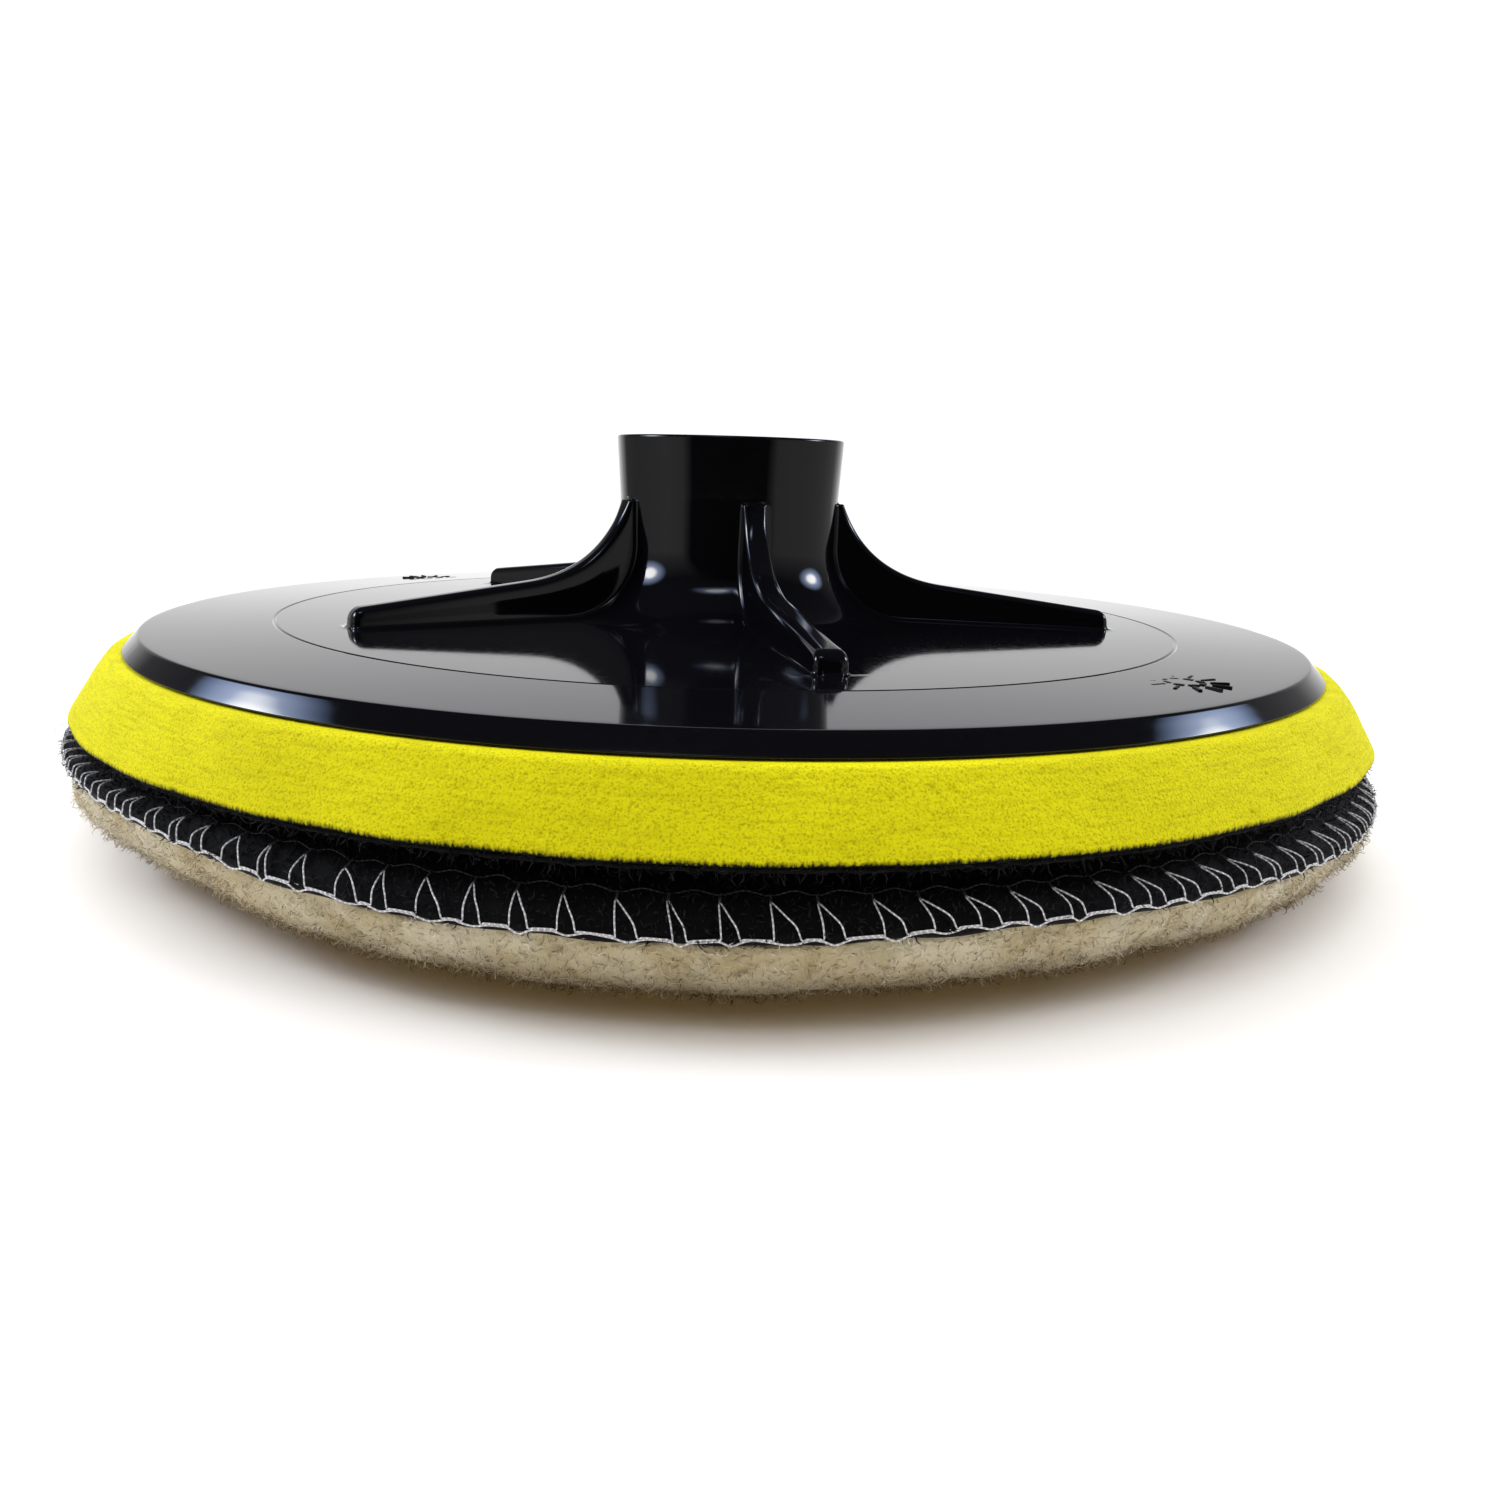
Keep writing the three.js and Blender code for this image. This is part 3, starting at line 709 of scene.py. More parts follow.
@dataclass(frozen=True)
class HotMelt:
    """Hot-melt adhesive film: milky, slightly glossy, uneven where it was rolled on."""

    name: str
    dark: str = "#c5bb97"
    light: str = "#e3dcc2"

    def material(self) -> bpy.types.Material:
        """Builds the material: cloudy patches and the fine ridges of the roller."""
        surface = Surface(self.name, self.light, 0.35, IOR=1.48)
        tree, place = surface.tree, surface.place
        cloud = add(tree, "ShaderNodeTexNoise", {"Vector": place, "Scale": per_mm(6.0), "Detail": 4.0})
        tint = add(tree, "ShaderNodeValToRGB", {"Fac": cloud.outputs["Fac"]},
                   stops=[(0.3, self.dark), (0.7, self.light)])
        across = add(tree, "ShaderNodeVectorMath", {0: place, 1: (1, 8, 1)}, operation="MULTIPLY")
        ridges = add(tree, "ShaderNodeTexNoise", {"Vector": across.outputs[0], "Scale": per_mm(1.2)})
        rolled = add(tree, "ShaderNodeBump", {"Height": ridges.outputs["Fac"], "Distance": 0.05 * MM})
        return surface.drive(Base_Color=tint.outputs[0], Normal=rolled.outputs[0])


@dataclass(frozen=True)
class KnittedGround:
    """Knitted polyester ground cloth: off-white, with the small loops of the knit."""

    dark: str = "#b3a98d"
    light: str = "#d9d0b7"
    wale: float = 1.2

    def material(self) -> bpy.types.Material:
        """Builds the material: rows of knitted loops as relief and shade."""
        surface = Surface("knitted ground cloth", self.light, 0.9, Sheen_Weight=0.2)
        tree = surface.tree
        loops = add(tree, "ShaderNodeTexVoronoi", {"Vector": surface.place, "Scale": per_mm(self.wale)})
        shade = add(tree, "ShaderNodeValToRGB", {"Fac": loops.outputs["Distance"]},
                    stops=[(0.1, self.dark), (0.6, self.light)])
        knit = add(tree, "ShaderNodeBump", {"Height": loops.outputs["Distance"], "Distance": 0.2 * MM,
                                            "Strength": 0.7})
        return surface.drive(Base_Color=shade.outputs[0], Normal=knit.outputs[0])


@dataclass(frozen=True)
class WhiteCard:
    """The studio's floor: white card with a faint tooth and a painted warm glow that lightens its shadows."""

    colour: str = "#fbfaf8"
    # Painted light: a warm glow that lightens and warms the shadows on the floor.
    glow: str = "#40341f"
    tooth: float = 0.6

    def material(self) -> bpy.types.Material:
        """Builds the material: a matt white with the faintest relief and a painted glow."""
        surface = Surface("white card", self.colour, 0.9, Emission_Color=linear(self.glow), Emission_Strength=1.0)
        noise = add(surface.tree, "ShaderNodeTexNoise", {"Vector": surface.place, "Scale": per_mm(self.tooth)})
        relief = add(surface.tree, "ShaderNodeBump", {"Height": noise.outputs["Fac"], "Distance": 0.02 * MM,
                                                      "Strength": 0.2})
        return surface.drive(Normal=relief.outputs[0])


def dress(piece: bpy.types.Object, material: bpy.types.Material) -> None:
    """Gives a piece one material all over."""
    piece.data.materials.clear()
    piece.data.materials.append(material)


# ---------------------------------------------------------------- fibres and hooks

class Curl(Enum):
    """How a planted fibre bends, as its turn in radians from root to tip."""

    STRAIGHT = 0.35
    BENT = 1.3
    CURLED = 2.9


def fibre(name: str, curl: Curl, thickness: float, segments: int) -> bpy.types.Object:
    """Makes one three-sided fibre of unit length that bends and narrows to its tip.

    Args:
        name: The object's name.
        curl: How it bends.
        thickness: Radius at the root as a share of the length.
        segments: Number of bends along it.

    Returns:
        The fibre, standing on the origin along Z, with its height from 0 to 1 in "tip".
    """
    points, share = [], []
    x = z = 0.0
    for row in range(segments):
        angle = curl.value * row / segments
        radius = thickness * (1 - 0.55 * row / segments)
        for side in range(3):
            turn = 2 * math.pi * side / 3
            across = radius * math.cos(turn)
            points.append((x + across * math.cos(angle), radius * math.sin(turn), z - across * math.sin(angle)))
            share.append(row / segments)
        x += math.sin(angle + curl.value / segments / 2) / segments
        z += math.cos(angle + curl.value / segments / 2) / segments
    points.append((x, 0, z))
    share.append(1.0)
    faces = grid_faces(segments, 3, True)
    last = (segments - 1) * 3
    faces += [(last + side, last + (side + 1) % 3, len(points) - 1) for side in range(3)]
    stem = make_object(name, np.array(points), faces)
    stem.data.transform(Matrix.Scale(1 / MM, 4))
    stem.data.attributes.new("tip", "FLOAT", "POINT").data.foreach_set("value", share)
    return stem


def set_share(piece: bpy.types.Object, values: np.ndarray) -> None:
    """Stores how thickly fibres grow at each vertex, from 0 to 1."""
    piece.data.attributes.new("share", "FLOAT", "POINT").data.foreach_set("value", values.astype(np.float32))


def places(piece: bpy.types.Object) -> np.ndarray:
    """Gives a mesh's vertices in millimetres."""
    flat = np.empty(len(piece.data.vertices) * 3)
    piece.data.vertices.foreach_get("co", flat)
    return flat.reshape(-1, 3) / MM


def keep_above(piece: bpy.types.Object, level: float) -> None:
    """Presses a piece's points up to a level in millimetres, as the surface below it does."""
    points = places(piece)
    low = points[:, 2] < level
    points[low, 2] = level + 0.15 * np.tanh((points[low, 2] - level) * 0.2 + 0.6)
    points[:, 2] = np.maximum(points[:, 2], level)
    piece.data.vertices.foreach_set("co", (points * MM).ravel())
    piece.data.update()


# ---------------------------------------------------------------- backing plate

@dataclass
class RibSection:
    """One cross-section of the plate's sector: a foot on the plate and what stands on it."""

    radius: float
    level: float
    lean: tuple[float, float]
    height: float
    half_width: float


@dataclass
class BackingPlate:
    """The moulded plate with its bevelled rim, hub, flare and five gusset ribs."""

    bevel_run: float = 1.95
    bevel_drop: float = 2.1
    skirt: float = 0.1
    shoulder_rise: float = 0.5
    crown_rise: float = 0.9
    witness_inset: float = 16.6
    witness_width: float = 0.5
    witness_depth: float = 0.16
    hub_radius: float = 16.4
    hub_rise: float = 26.7
    hub_round: float = 0.35
    hub_spread: float = 0.5
    flare_radius: float = 10.5
    rib_count: int = 5
    first_rib: float = -78.0
    rib_end: float = 57.0
    rib_end_height: float = 3.2
    rib_slope: float = 0.12
    rib_sweep: float = 16.0
    rib_knee: float = 4.8
    rib_hub_drop: float = 9.1
    rib_shoulder: float = 1.0
    rib_root: float = 3.2
    rib_tip: float = 4.0
    edge: float = 1.1
    fillet: float = 0.55
    end_round: float = 1.6
    corner_round: float = 0.85
    draft: float = 0.03
    top_ring: float = 12.6
    insert_flats: float = 20.0
    insert_neck: float = 8.6
    insert_head: float = 7.0
    mould_gap: float = 0.3
    relief_radius: float = 7.7
    spread_columns: int = 14

    def __post_init__(self) -> None:
        """Works out the levels and radii that follow from the CAD solid."""
        self.bottom, self.hub_top = levels("backing_plate")
        self.rim_radius = top_radius("backing_plate")
        self.rim = self.hub_top - self.hub_rise
        self.top_edge = self.rim_radius - self.bevel_run
        self.flare_centre = (self.hub_radius + self.flare_radius, self.rim + self.crown_rise + self.flare_radius)
        self.rib_top = self.hub_top - self.rib_hub_drop

    def surface_level(self, radius: float) -> float:
        """Gives the plate's top level at a radius outside the flare."""
        witness = self.top_edge - self.witness_inset
        crown = (self.flare_centre[0], self.rim + self.crown_rise)
        shoulder = (witness, self.rim + self.shoulder_rise)
        edge = (self.top_edge, self.rim)
        return float(np.interp(radius, [crown[0], shoulder[0], edge[0]], [crown[1], shoulder[1], edge[1]]))

    def foot_of(self, x: float, z: float) -> tuple[float, float, tuple[float, float], float]:
        """Finds where a point of the rib's side view stands on the plate, the flare or the hub.

        Args:
            x: Radius of the point.
            z: Level of the point.

        Returns:
            Radius and level of the foot, the direction from it to the point, and the distance.
        """
        centre_x, centre_z = self.flare_centre
        if x >= centre_x:
            level = self.surface_level(x)
            return x, level, (0.0, 1.0), max(0.0, z - level)
        if z >= centre_z:
            return self.hub_radius, z, (1.0, 0.0), max(0.0, x - self.hub_radius)
        away = math.hypot(x - centre_x, z - centre_z)
        lean = ((centre_x - x) / away, (centre_z - z) / away)
        foot = (centre_x - lean[0] * self.flare_radius, centre_z - lean[1] * self.flare_radius)
        return foot[0], foot[1], lean, max(0.0, self.flare_radius - away)

    def rib_outline(self) -> list[tuple[float, float, float]]:
        """Lists the rib's side view from its outer foot to the hub.

        Returns:
            Radius, level and half-width at each point.
        """
        end_top = self.rim + self.rib_end_height
        sweep = self.hub_radius + self.rib_sweep
        knee = self.hub_radius + self.rib_knee
        start = self.hub_radius + self.rib_shoulder
        taper = (self.rib_tip - self.rib_root) / (self.rib_end - self.hub_radius)

        def top(x: float) -> float:
            return end_top + self.rib_slope * (self.rib_end - x)

        def half(x: float) -> float:
            return (self.rib_root + taper * (x - self.hub_radius)) / 2

        points = []
        floor = self.surface_level(self.rib_end)
        run = (end_top - floor) * self.draft
        narrow = half(self.rib_end) - self.corner_round
        for radius, level in arc((self.rib_end + run + self.fillet, floor + self.fillet), self.fillet, 270, 180, 5):
            points.append((radius, level, narrow))
        shoulder = end_top - self.end_round
        for share in (0.5,):
            level = floor + self.fillet + (shoulder - floor - self.fillet) * share
            points.append((self.rib_end + run * (1 - share), level, narrow))
        for angle in np.radians(np.linspace(0, 90, 13)):
            x = self.rib_end - self.end_round * (1 - math.cos(angle))
            into = max(0.0, x - self.rib_end + self.corner_round)
            corner = self.corner_round - math.sqrt(self.corner_round ** 2 - into ** 2)
            points.append((x, top(x) - self.end_round * (1 - math.sin(angle)), half(x) - corner))
        for x in np.linspace(self.rib_end - self.end_round, sweep, 14)[1:]:
            points.append((x, top(x), half(x)))
        for t in np.linspace(0, 1, 27)[1:]:
            x = (1 - t) ** 2 * sweep + 2 * t * (1 - t) * knee + t * t * start
            z = (1 - t) ** 2 * top(sweep) + 2 * t * (1 - t) * top(knee) + t * t * (self.rib_top - 0.35)
            points.append((x, z, half(x)))
        for angle in np.radians((30, 60, 90)):
            points.append((start - 0.35 * (1 - math.cos(angle)), self.rib_top - 0.35 * (1 - math.sin(angle)),
                           half(start) - 0.35 * (1 - math.cos(angle))))
        last = half(start) - 0.35
        points.append((self.hub_radius + self.fillet * 0.6, self.rib_top + 0.01, last))
        for angle in np.radians((30, 60, 90)):
            reach = self.fillet * 0.6
            points.append((self.hub_radius + reach * (1 - math.sin(angle)),
                           self.rib_top + 0.02 + reach * (1 - math.cos(angle)), last))
        return points

    def sections(self) -> list[RibSection]:
        """Lists the sector's rows from the underside, over the rim and along the rib, to the hub's top."""
        witness = self.top_edge - self.witness_inset
        bevel_low = (self.rim_radius, self.bottom + self.skirt)
        flat_rows: Outline = [(40.0, self.bottom), (70.0, self.bottom), (self.rim_radius - 1, self.bottom),
                              (self.rim_radius - 0.06, self.bottom), bevel_low,
                              (self.rim_radius - 0.08, self.bottom + self.skirt + 0.09)]
        slope = math.atan2(self.bevel_drop, self.bevel_run)
        lip = 0.3
        for share in (0.3, 0.6, 1 - lip / 2.4):
            flat_rows.append((self.rim_radius - self.bevel_run * share,
                              self.bottom + self.skirt + self.bevel_drop * share))
        for share in (0.35, 0.65, 1.0):
            flat_rows.append((self.top_edge + lip * math.cos(slope) * (1 - share) - 0.35 * share,
                              self.surface_level(self.top_edge - 0.35 * share) - 0.08 * (1 - share) ** 2))
        for radius in np.linspace(self.top_edge - 1.2, witness + 1.2, 6):
            flat_rows.append((radius, self.surface_level(radius)))
        half = self.witness_width / 2
        for share in (-1.25, -1.0, -0.6, 0.0, 0.6, 1.0, 1.25):
            depth = self.witness_depth * max(0.0, math.cos(share * math.pi / 2))
            flat_rows.append((witness - share * half, self.surface_level(witness - share * half) - depth))
        for radius in np.linspace(witness - 1.2, self.rib_end + 1.4, 4):
            flat_rows.append((radius, self.surface_level(radius)))
        outline = self.rib_outline()
        rows = [RibSection(radius, level, (0, 1), 0.0, outline[0][2]) for radius, level in flat_rows]
        for x, z, half_width in outline:
            radius, level, lean, height = self.foot_of(x, z)
            rows.append(RibSection(radius, level, lean, height, half_width))
        rows[len(flat_rows)].height = 0.0
        rows[-1].height = 0.0
        last = outline[-1][2]
        start, wide = rows[-1].level, self.hub_radius + self.hub_spread
        for share in np.linspace(0.05, 1, 7):
            rows.append(RibSection(self.hub_radius + self.hub_spread * share,
                                   start + (self.hub_top - self.hub_round - start) * share, (1, 0), 0.0, last))
        rim_centre = (wide - self.hub_round, self.hub_top - self.hub_round)
        for radius, level in arc(rim_centre, self.hub_round, 18, 90, 4):
            rows.append(RibSection(radius, level, (0, 1), 0.0, last))
        for radius in (14.2, self.top_ring):
            rows.append(RibSection(radius, self.hub_top, (0, 1), 0.0, last))
        return rows

    def section_points(self, row: RibSection) -> list[tuple[float, float]]:
        """Lists half a cross-section as lateral offset and height, from the middle to the fillet's foot."""
        reach = row.half_width + self.draft * row.height + self.fillet
        if row.height <= 0:
            return [(reach * share, 0.0) for share in np.linspace(0, 1, 14)]
        edge = min(self.edge, 0.45 * row.height, 0.6 * row.half_width)
        fillet = min(self.fillet, 0.45 * row.height)
        width, height = row.half_width, row.height
        points = [(0.0, height), ((width - edge) * 0.55, height), (width - edge, height)]
        for angle in np.radians((22.5, 45, 67.5, 90)):
            points.append((width - edge + edge * math.sin(angle), height - edge * (1 - math.cos(angle))))
        drop = height - edge - fillet
        for share in (1 / 3, 2 / 3, 1.0):
            points.append((width + self.draft * drop * share, height - edge - drop * share))
        foot = width + self.draft * drop
        for angle in np.radians((22.5, 45, 67.5, 90)):
            points.append((foot + fillet * (1 - math.cos(angle)), fillet * (1 - math.sin(angle))))
        return points

    def sector(self) -> tuple[np.ndarray, np.ndarray]:
        """Lays out one sector, with its rib along +X.

        Returns:
            The grid of points, and the azimuths of its last row.
        """
        edge = math.pi / self.rib_count
        grid = []
        for row in self.sections():
            half, azimuths = [], []
            for offset, height in self.section_points(row):
                along = math.sqrt(max(0.0, row.radius ** 2 - offset ** 2))
                half.append((along + height * row.lean[0], offset, row.level + height * row.lean[1]))
                azimuths.append(math.asin(offset / row.radius))
            for azimuth in np.linspace(azimuths[-1], edge, self.spread_columns + 1)[1:]:
                half.append((row.radius * math.cos(azimuth), row.radius * math.sin(azimuth), row.level))
                azimuths.append(azimuth)
            mirrored = [(x, -y, z) for x, y, z in half[:0:-1]]
            grid.append(mirrored + half)
            last = [-azimuth for azimuth in azimuths[:0:-1]] + azimuths
        return np.array(grid), np.array(last)

    def core(self, azimuths: np.ndarray) -> bpy.types.Object:
        """Makes the hub's top inside the ring, the socket for the insert and its relief.

        Args:
            azimuths: The azimuths of the sector's last row.

        Returns:
            The inside of the hub, open where it meets the sectors.
        """
        first = math.radians(self.first_rib)
        step = 2 * math.pi / self.rib_count
        angles = np.concatenate([azimuths[:-1] + first + step * index for index in range(self.rib_count)])
        hexagon = angles.copy()
        for corner in np.radians(np.arange(-90, 270, 60)):
            away = (angles - corner + math.pi) % (2 * math.pi) - math.pi
            nearest = np.argmin(np.abs(away))
            hexagon[nearest] = angles[nearest] - away[nearest]
        insert_bottom, insert_top = levels("threaded_insert")
        gap = self.mould_gap
        relief_bottom = self.bottom + 3.2
        round_neck = np.full(len(angles), self.insert_neck + gap)
        hexed = hexagon_radius(hexagon, self.insert_flats) + gap
        rows = [(np.full(len(angles), self.top_ring), self.hub_top, angles),
                (hexed + 0.12, self.hub_top, hexagon),
                (hexed, self.hub_top - 0.12, hexagon),
                (hexed, insert_top - self.insert_head - gap, hexagon),
                (round_neck, insert_top - self.insert_head - gap, hexagon),
                (round_neck, insert_bottom + self.insert_head + gap, hexagon),
                (hexed, insert_bottom + self.insert_head + gap, hexagon),
                (hexed, insert_bottom - gap, hexagon),
                (np.full(len(angles), self.relief_radius), insert_bottom - gap, hexagon),
                (np.full(len(angles), self.relief_radius), relief_bottom, hexagon),
                (np.full(len(angles), 2.0), relief_bottom, hexagon)]
        grid = np.array([[(r * math.cos(a), r * math.sin(a), level) for r, a in zip(radii, turned)]
                         for radii, level, turned in rows])
        columns = len(angles)
        points = np.vstack([grid.reshape(-1, 3), [[0, 0, relief_bottom]]])
        faces = grid_faces(len(rows), columns, True)
        last = (len(rows) - 1) * columns
        faces += [(last + i, last + (i + 1) % columns, len(points) - 1) for i in range(columns)]
        return make_object("hub socket", points, faces)

    def underside(self, azimuths: np.ndarray, radius: float) -> bpy.types.Object:
        """Makes the flat middle of the underside, which closes the plate.

        Args:
            azimuths: Azimuths of the sector's first row.
            radius: Radius of the sector's first row.

        Returns:
            A disc, open at its edge.
        """
        step = 2 * math.pi / self.rib_count
        first = math.radians(self.first_rib)
        angles = np.concatenate([azimuths[:-1] + first + step * index for index in range(self.rib_count)])
        ring = np.stack([radius * np.cos(angles), radius * np.sin(angles), np.full(len(angles), self.bottom)], 1)
        points = np.vstack([ring, [[0, 0, self.bottom]]])
        count = len(angles)
        return make_object("underside", points, [(i, count, (i + 1) % count) for i in range(count)])

    def build(self, copies: Rule) -> bpy.types.Object:
        """Args:
            copies: The tree that repeats a shape round the axis.

        Returns:
            The finished plate.
        """
        material = MouldedGloss().material()
        grid, azimuths = self.sector()
        rows, columns, _ = grid.shape
        sector = make_object("plate sector", grid.reshape(-1, 3), grid_faces(rows, columns, False))
        plate = copies.run("moulded_backing_plate", sector, material, Count=self.rib_count,
                           First_angle=math.radians(self.first_rib), Merge_distance=1e-6)
        first_row = np.arctan2(grid[0, :, 1], grid[0, :, 0])
        radius = float(np.hypot(grid[0, 0, 0], grid[0, 0, 1]))
        bpy.data.objects.remove(sector)
        merge_into(plate, [self.core(azimuths), self.underside(first_row, radius)], 2e-6)
        dress(plate, material)
        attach(plate, PLATE_BODY)
        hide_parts("backing_plate")
        return plate


@dataclass
class MouldMark:
    """A raised dial of plain ticks, such as a moulder stamps beside the rim."""

    radius: float = 5.2
    ticks: int = 12
    tick_length: float = 2.1
    tick_width: float = 0.4
    rise: float = 0.08
    ring_width: float = 0.6
    distance: float = 73.0
    azimuths: tuple[float, float] = (-44.5, 141.0)

    def bar(self, inner: float, outer: float, width: float, name: str) -> bpy.types.Object:
        """Makes one low bar along +X with sloping sides.

        Args:
            inner: Nearest end to the axis.
            outer: Farthest end.
            width: Width across the bar.
            name: The object's name.

        Returns:
            The bar, standing a little below Z = 0.
        """
        points, slope = [], 0.12
        for level, inset in ((-0.4, 0.0), (self.rise * 0.6, 0.0), (self.rise, slope)):
            half = width / 2 - inset
            points += [(inner + inset, -half, level), (outer - inset, -half, level),
                       (outer - inset, half, level), (inner + inset, half, level)]
        faces = grid_faces(3, 4, True) + [(8, 9, 10, 11), (3, 2, 1, 0)]
        return make_object(name, np.array(points), faces)

    def build(self, copies: Rule, plate: BackingPlate) -> list[bpy.types.Object]:
        """Builds both marks on the plate.

        Args:
            copies: The tree that repeats a shape round the axis.
            plate: The plate that carries them.

        Returns:
            The finished marks.
        """
        material = MarkSatin().material()
        marks = []
        for number, azimuth in enumerate(self.azimuths):
            tick = self.bar(self.radius - self.tick_length, self.radius, self.tick_width, "tick")
            arc_bar = self.bar(self.radius - self.tick_length - 1.3, self.radius - self.tick_length - 0.7, 1.15, "arc")
            name = f"mould_dial_{number + 1}"
            mark = copies.run(name, tick, material, Count=self.ticks, First_angle=0.0, Merge_distance=0.0)
            ring = copies.run("ring", arc_bar, material, Count=8, First_angle=0.2, Merge_distance=0.0)
            for used in (tick, arc_bar):
                bpy.data.objects.remove(used)
            merge_into(mark, [ring], 0.0)
            angle = math.radians(azimuth)
            level = plate.surface_level(self.distance)
            mark.data.transform(Matrix.Translation(Vector((self.distance * math.cos(angle),
                                                           self.distance * math.sin(angle), level)) * MM))
            for polygon in mark.data.polygons:
                polygon.use_smooth = False
            dress(mark, material)
            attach(mark, PLATE_BODY)
            marks.append(mark)
        return marks


# ---------------------------------------------------------------- threaded insert

@dataclass
class ThreadedInsert:
    """The steel insert: two hexagonal ends, a round neck and a right-handed M14 x 2 thread."""

    flats: float = 20.0
    neck: float = 8.6
    head: float = 7.0
    pitch: float = 2.0
    minor: float = 5.92
    major: float = 7.0
    lead_in: float = 1.3
    chamfer: float = 0.5
    columns: int = 96
    rows_per_pitch: int = 14

    def thread_radius(self, height: np.ndarray, angles: np.ndarray) -> np.ndarray:
        """Gives the bore's radius at a height and an angle.

        Args:
            height: Height above the insert's bottom in millimetres.
            angles: Angles in radians.

        Returns:
            The radii in millimetres.
        """
        turn = ((height / self.pitch - angles / (2 * math.pi)) % 1.0) * self.pitch
        flank = (self.major - self.minor) * math.tan(math.pi / 6)
        flat = (self.pitch - 2 * flank) / 3
        edges = [0, 2 * flat, 2 * flat + flank, 3 * flat + flank, self.pitch]
        return np.interp(turn, edges, [self.minor, self.minor, self.major, self.major, self.minor])

    def build(self) -> bpy.types.Object:
        low, high = levels("threaded_insert")
        angles = full_turn(self.columns) + math.radians(-90)
        hexagon = hexagon_radius(angles, self.flats)
        cut = np.minimum(hexagon, self.flats / 2 + self.chamfer)
        neck = np.full(self.columns, self.neck)
        outside = [(cut, low), (hexagon, low + self.chamfer), (hexagon, low + self.head), (neck, low + self.head),
                   (neck, high - self.head), (hexagon, high - self.head), (hexagon, high - self.chamfer), (cut, high)]
        inside = []
        mouth = self.major + 0.3
        for height in np.linspace(high - low, 0, int((high - low) / self.pitch * self.rows_per_pitch) + 1):
            opened = mouth - min(height, high - low - height)
            radius = np.maximum(self.thread_radius(np.full(self.columns, height), angles), opened)
            inside.append((radius, low + height))
        rows = outside + inside
        grid = np.array([[(r * math.cos(a), r * math.sin(a), level) for r, a in zip(radii, angles)]
                         for radii, level in rows])
        faces = grid_faces(len(rows), self.columns, True)
        last = (len(rows) - 1) * self.columns
        for i in range(self.columns):
            after = (i + 1) % self.columns
            faces.append((last + i, last + after, after, i))
        insert = make_object("steel_insert", grid.reshape(-1, 3), faces)
        merge_into(insert, [], 1e-7)
        insert.data.set_sharp_from_angle(angle=math.radians(35))
        dress(insert, TurnedSteel().material())
        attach(insert, PLATE_BODY)
        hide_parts("threaded_insert")
        return insert


# ---------------------------------------------------------------- foam and hook tape

@dataclass
class FoamCushion:
    """The yellow foam between plate and hook tape, cut with a slanted side."""

    overhang: float = 0.7
    flare: float = 5.1
    belly: float = 0.35
    edge: float = 0.35
    side_rows: int = 34
    columns: int = 1900
    pits: int = 1500
    pit_radius: float = 0.34
    pit_depth: float = 0.22
    swell: float = 0.12
    seed: int = 21

    def build(self) -> bpy.types.Object:
        low, high = levels("foam_cushion")
        base = top_radius("foam_cushion") + self.overhang
        share = np.linspace(0, 1, self.side_rows)
        radius = base - self.flare * share + self.belly * np.sin(math.pi * share)
        level = low + (high - low) * share
        rounding = np.minimum(share, 1 - share) * self.side_rows / 2.5
        radius -= self.edge * np.clip(1 - rounding, 0, 1) ** 2
        angles = full_turn(self.columns)
        uneven = self.swell * waves(angles[None, :], level[:, None], self.seed, 14, 40, 0.9)
        side = revolve(list(zip(radius, level)), angles)
        depth = uneven - np.abs(self.swell)
        rng = np.random.default_rng(self.seed)
        spots = np.stack([rng.uniform(0, 2 * math.pi, self.pits), rng.uniform(0.04, 0.96, self.pits)], 1)
        sizes = rng.uniform(0.5, 1.0, self.pits) ** 2
        slant = math.hypot(high - low, self.flare)
        arc_step = 2 * math.pi / self.columns
        for (angle, height), size in zip(spots, sizes):
            reach = self.pit_radius * (0.6 + 0.6 * size)
            span = int(math.ceil(reach / (base * arc_step))) + 1
            centre = int(round(angle / arc_step))
            near = np.arange(centre - span, centre + span + 1)
            across = (near * arc_step - angle) * base
            up = (share - height) * slant
            away = np.sqrt(across[None, :] ** 2 + up[:, None] ** 2)
            depth[:, near % self.columns] -= self.pit_depth * size * np.clip(1 - (away / reach) ** 2, 0, 1)
        side[:, :, 0] += depth * np.cos(angles)
        side[:, :, 1] += depth * np.sin(angles)
        under = revolve([(base - 4, low)], angles)
        over = revolve([(base - self.flare - 4, high)], angles)
        foam = shell("yellow_foam_cushion", np.concatenate([under, side, over]))
        dress(foam, ClosedCellFoam().material())
        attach(foam, PLATE_BODY)
        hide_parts("foam_cushion")
        return foam


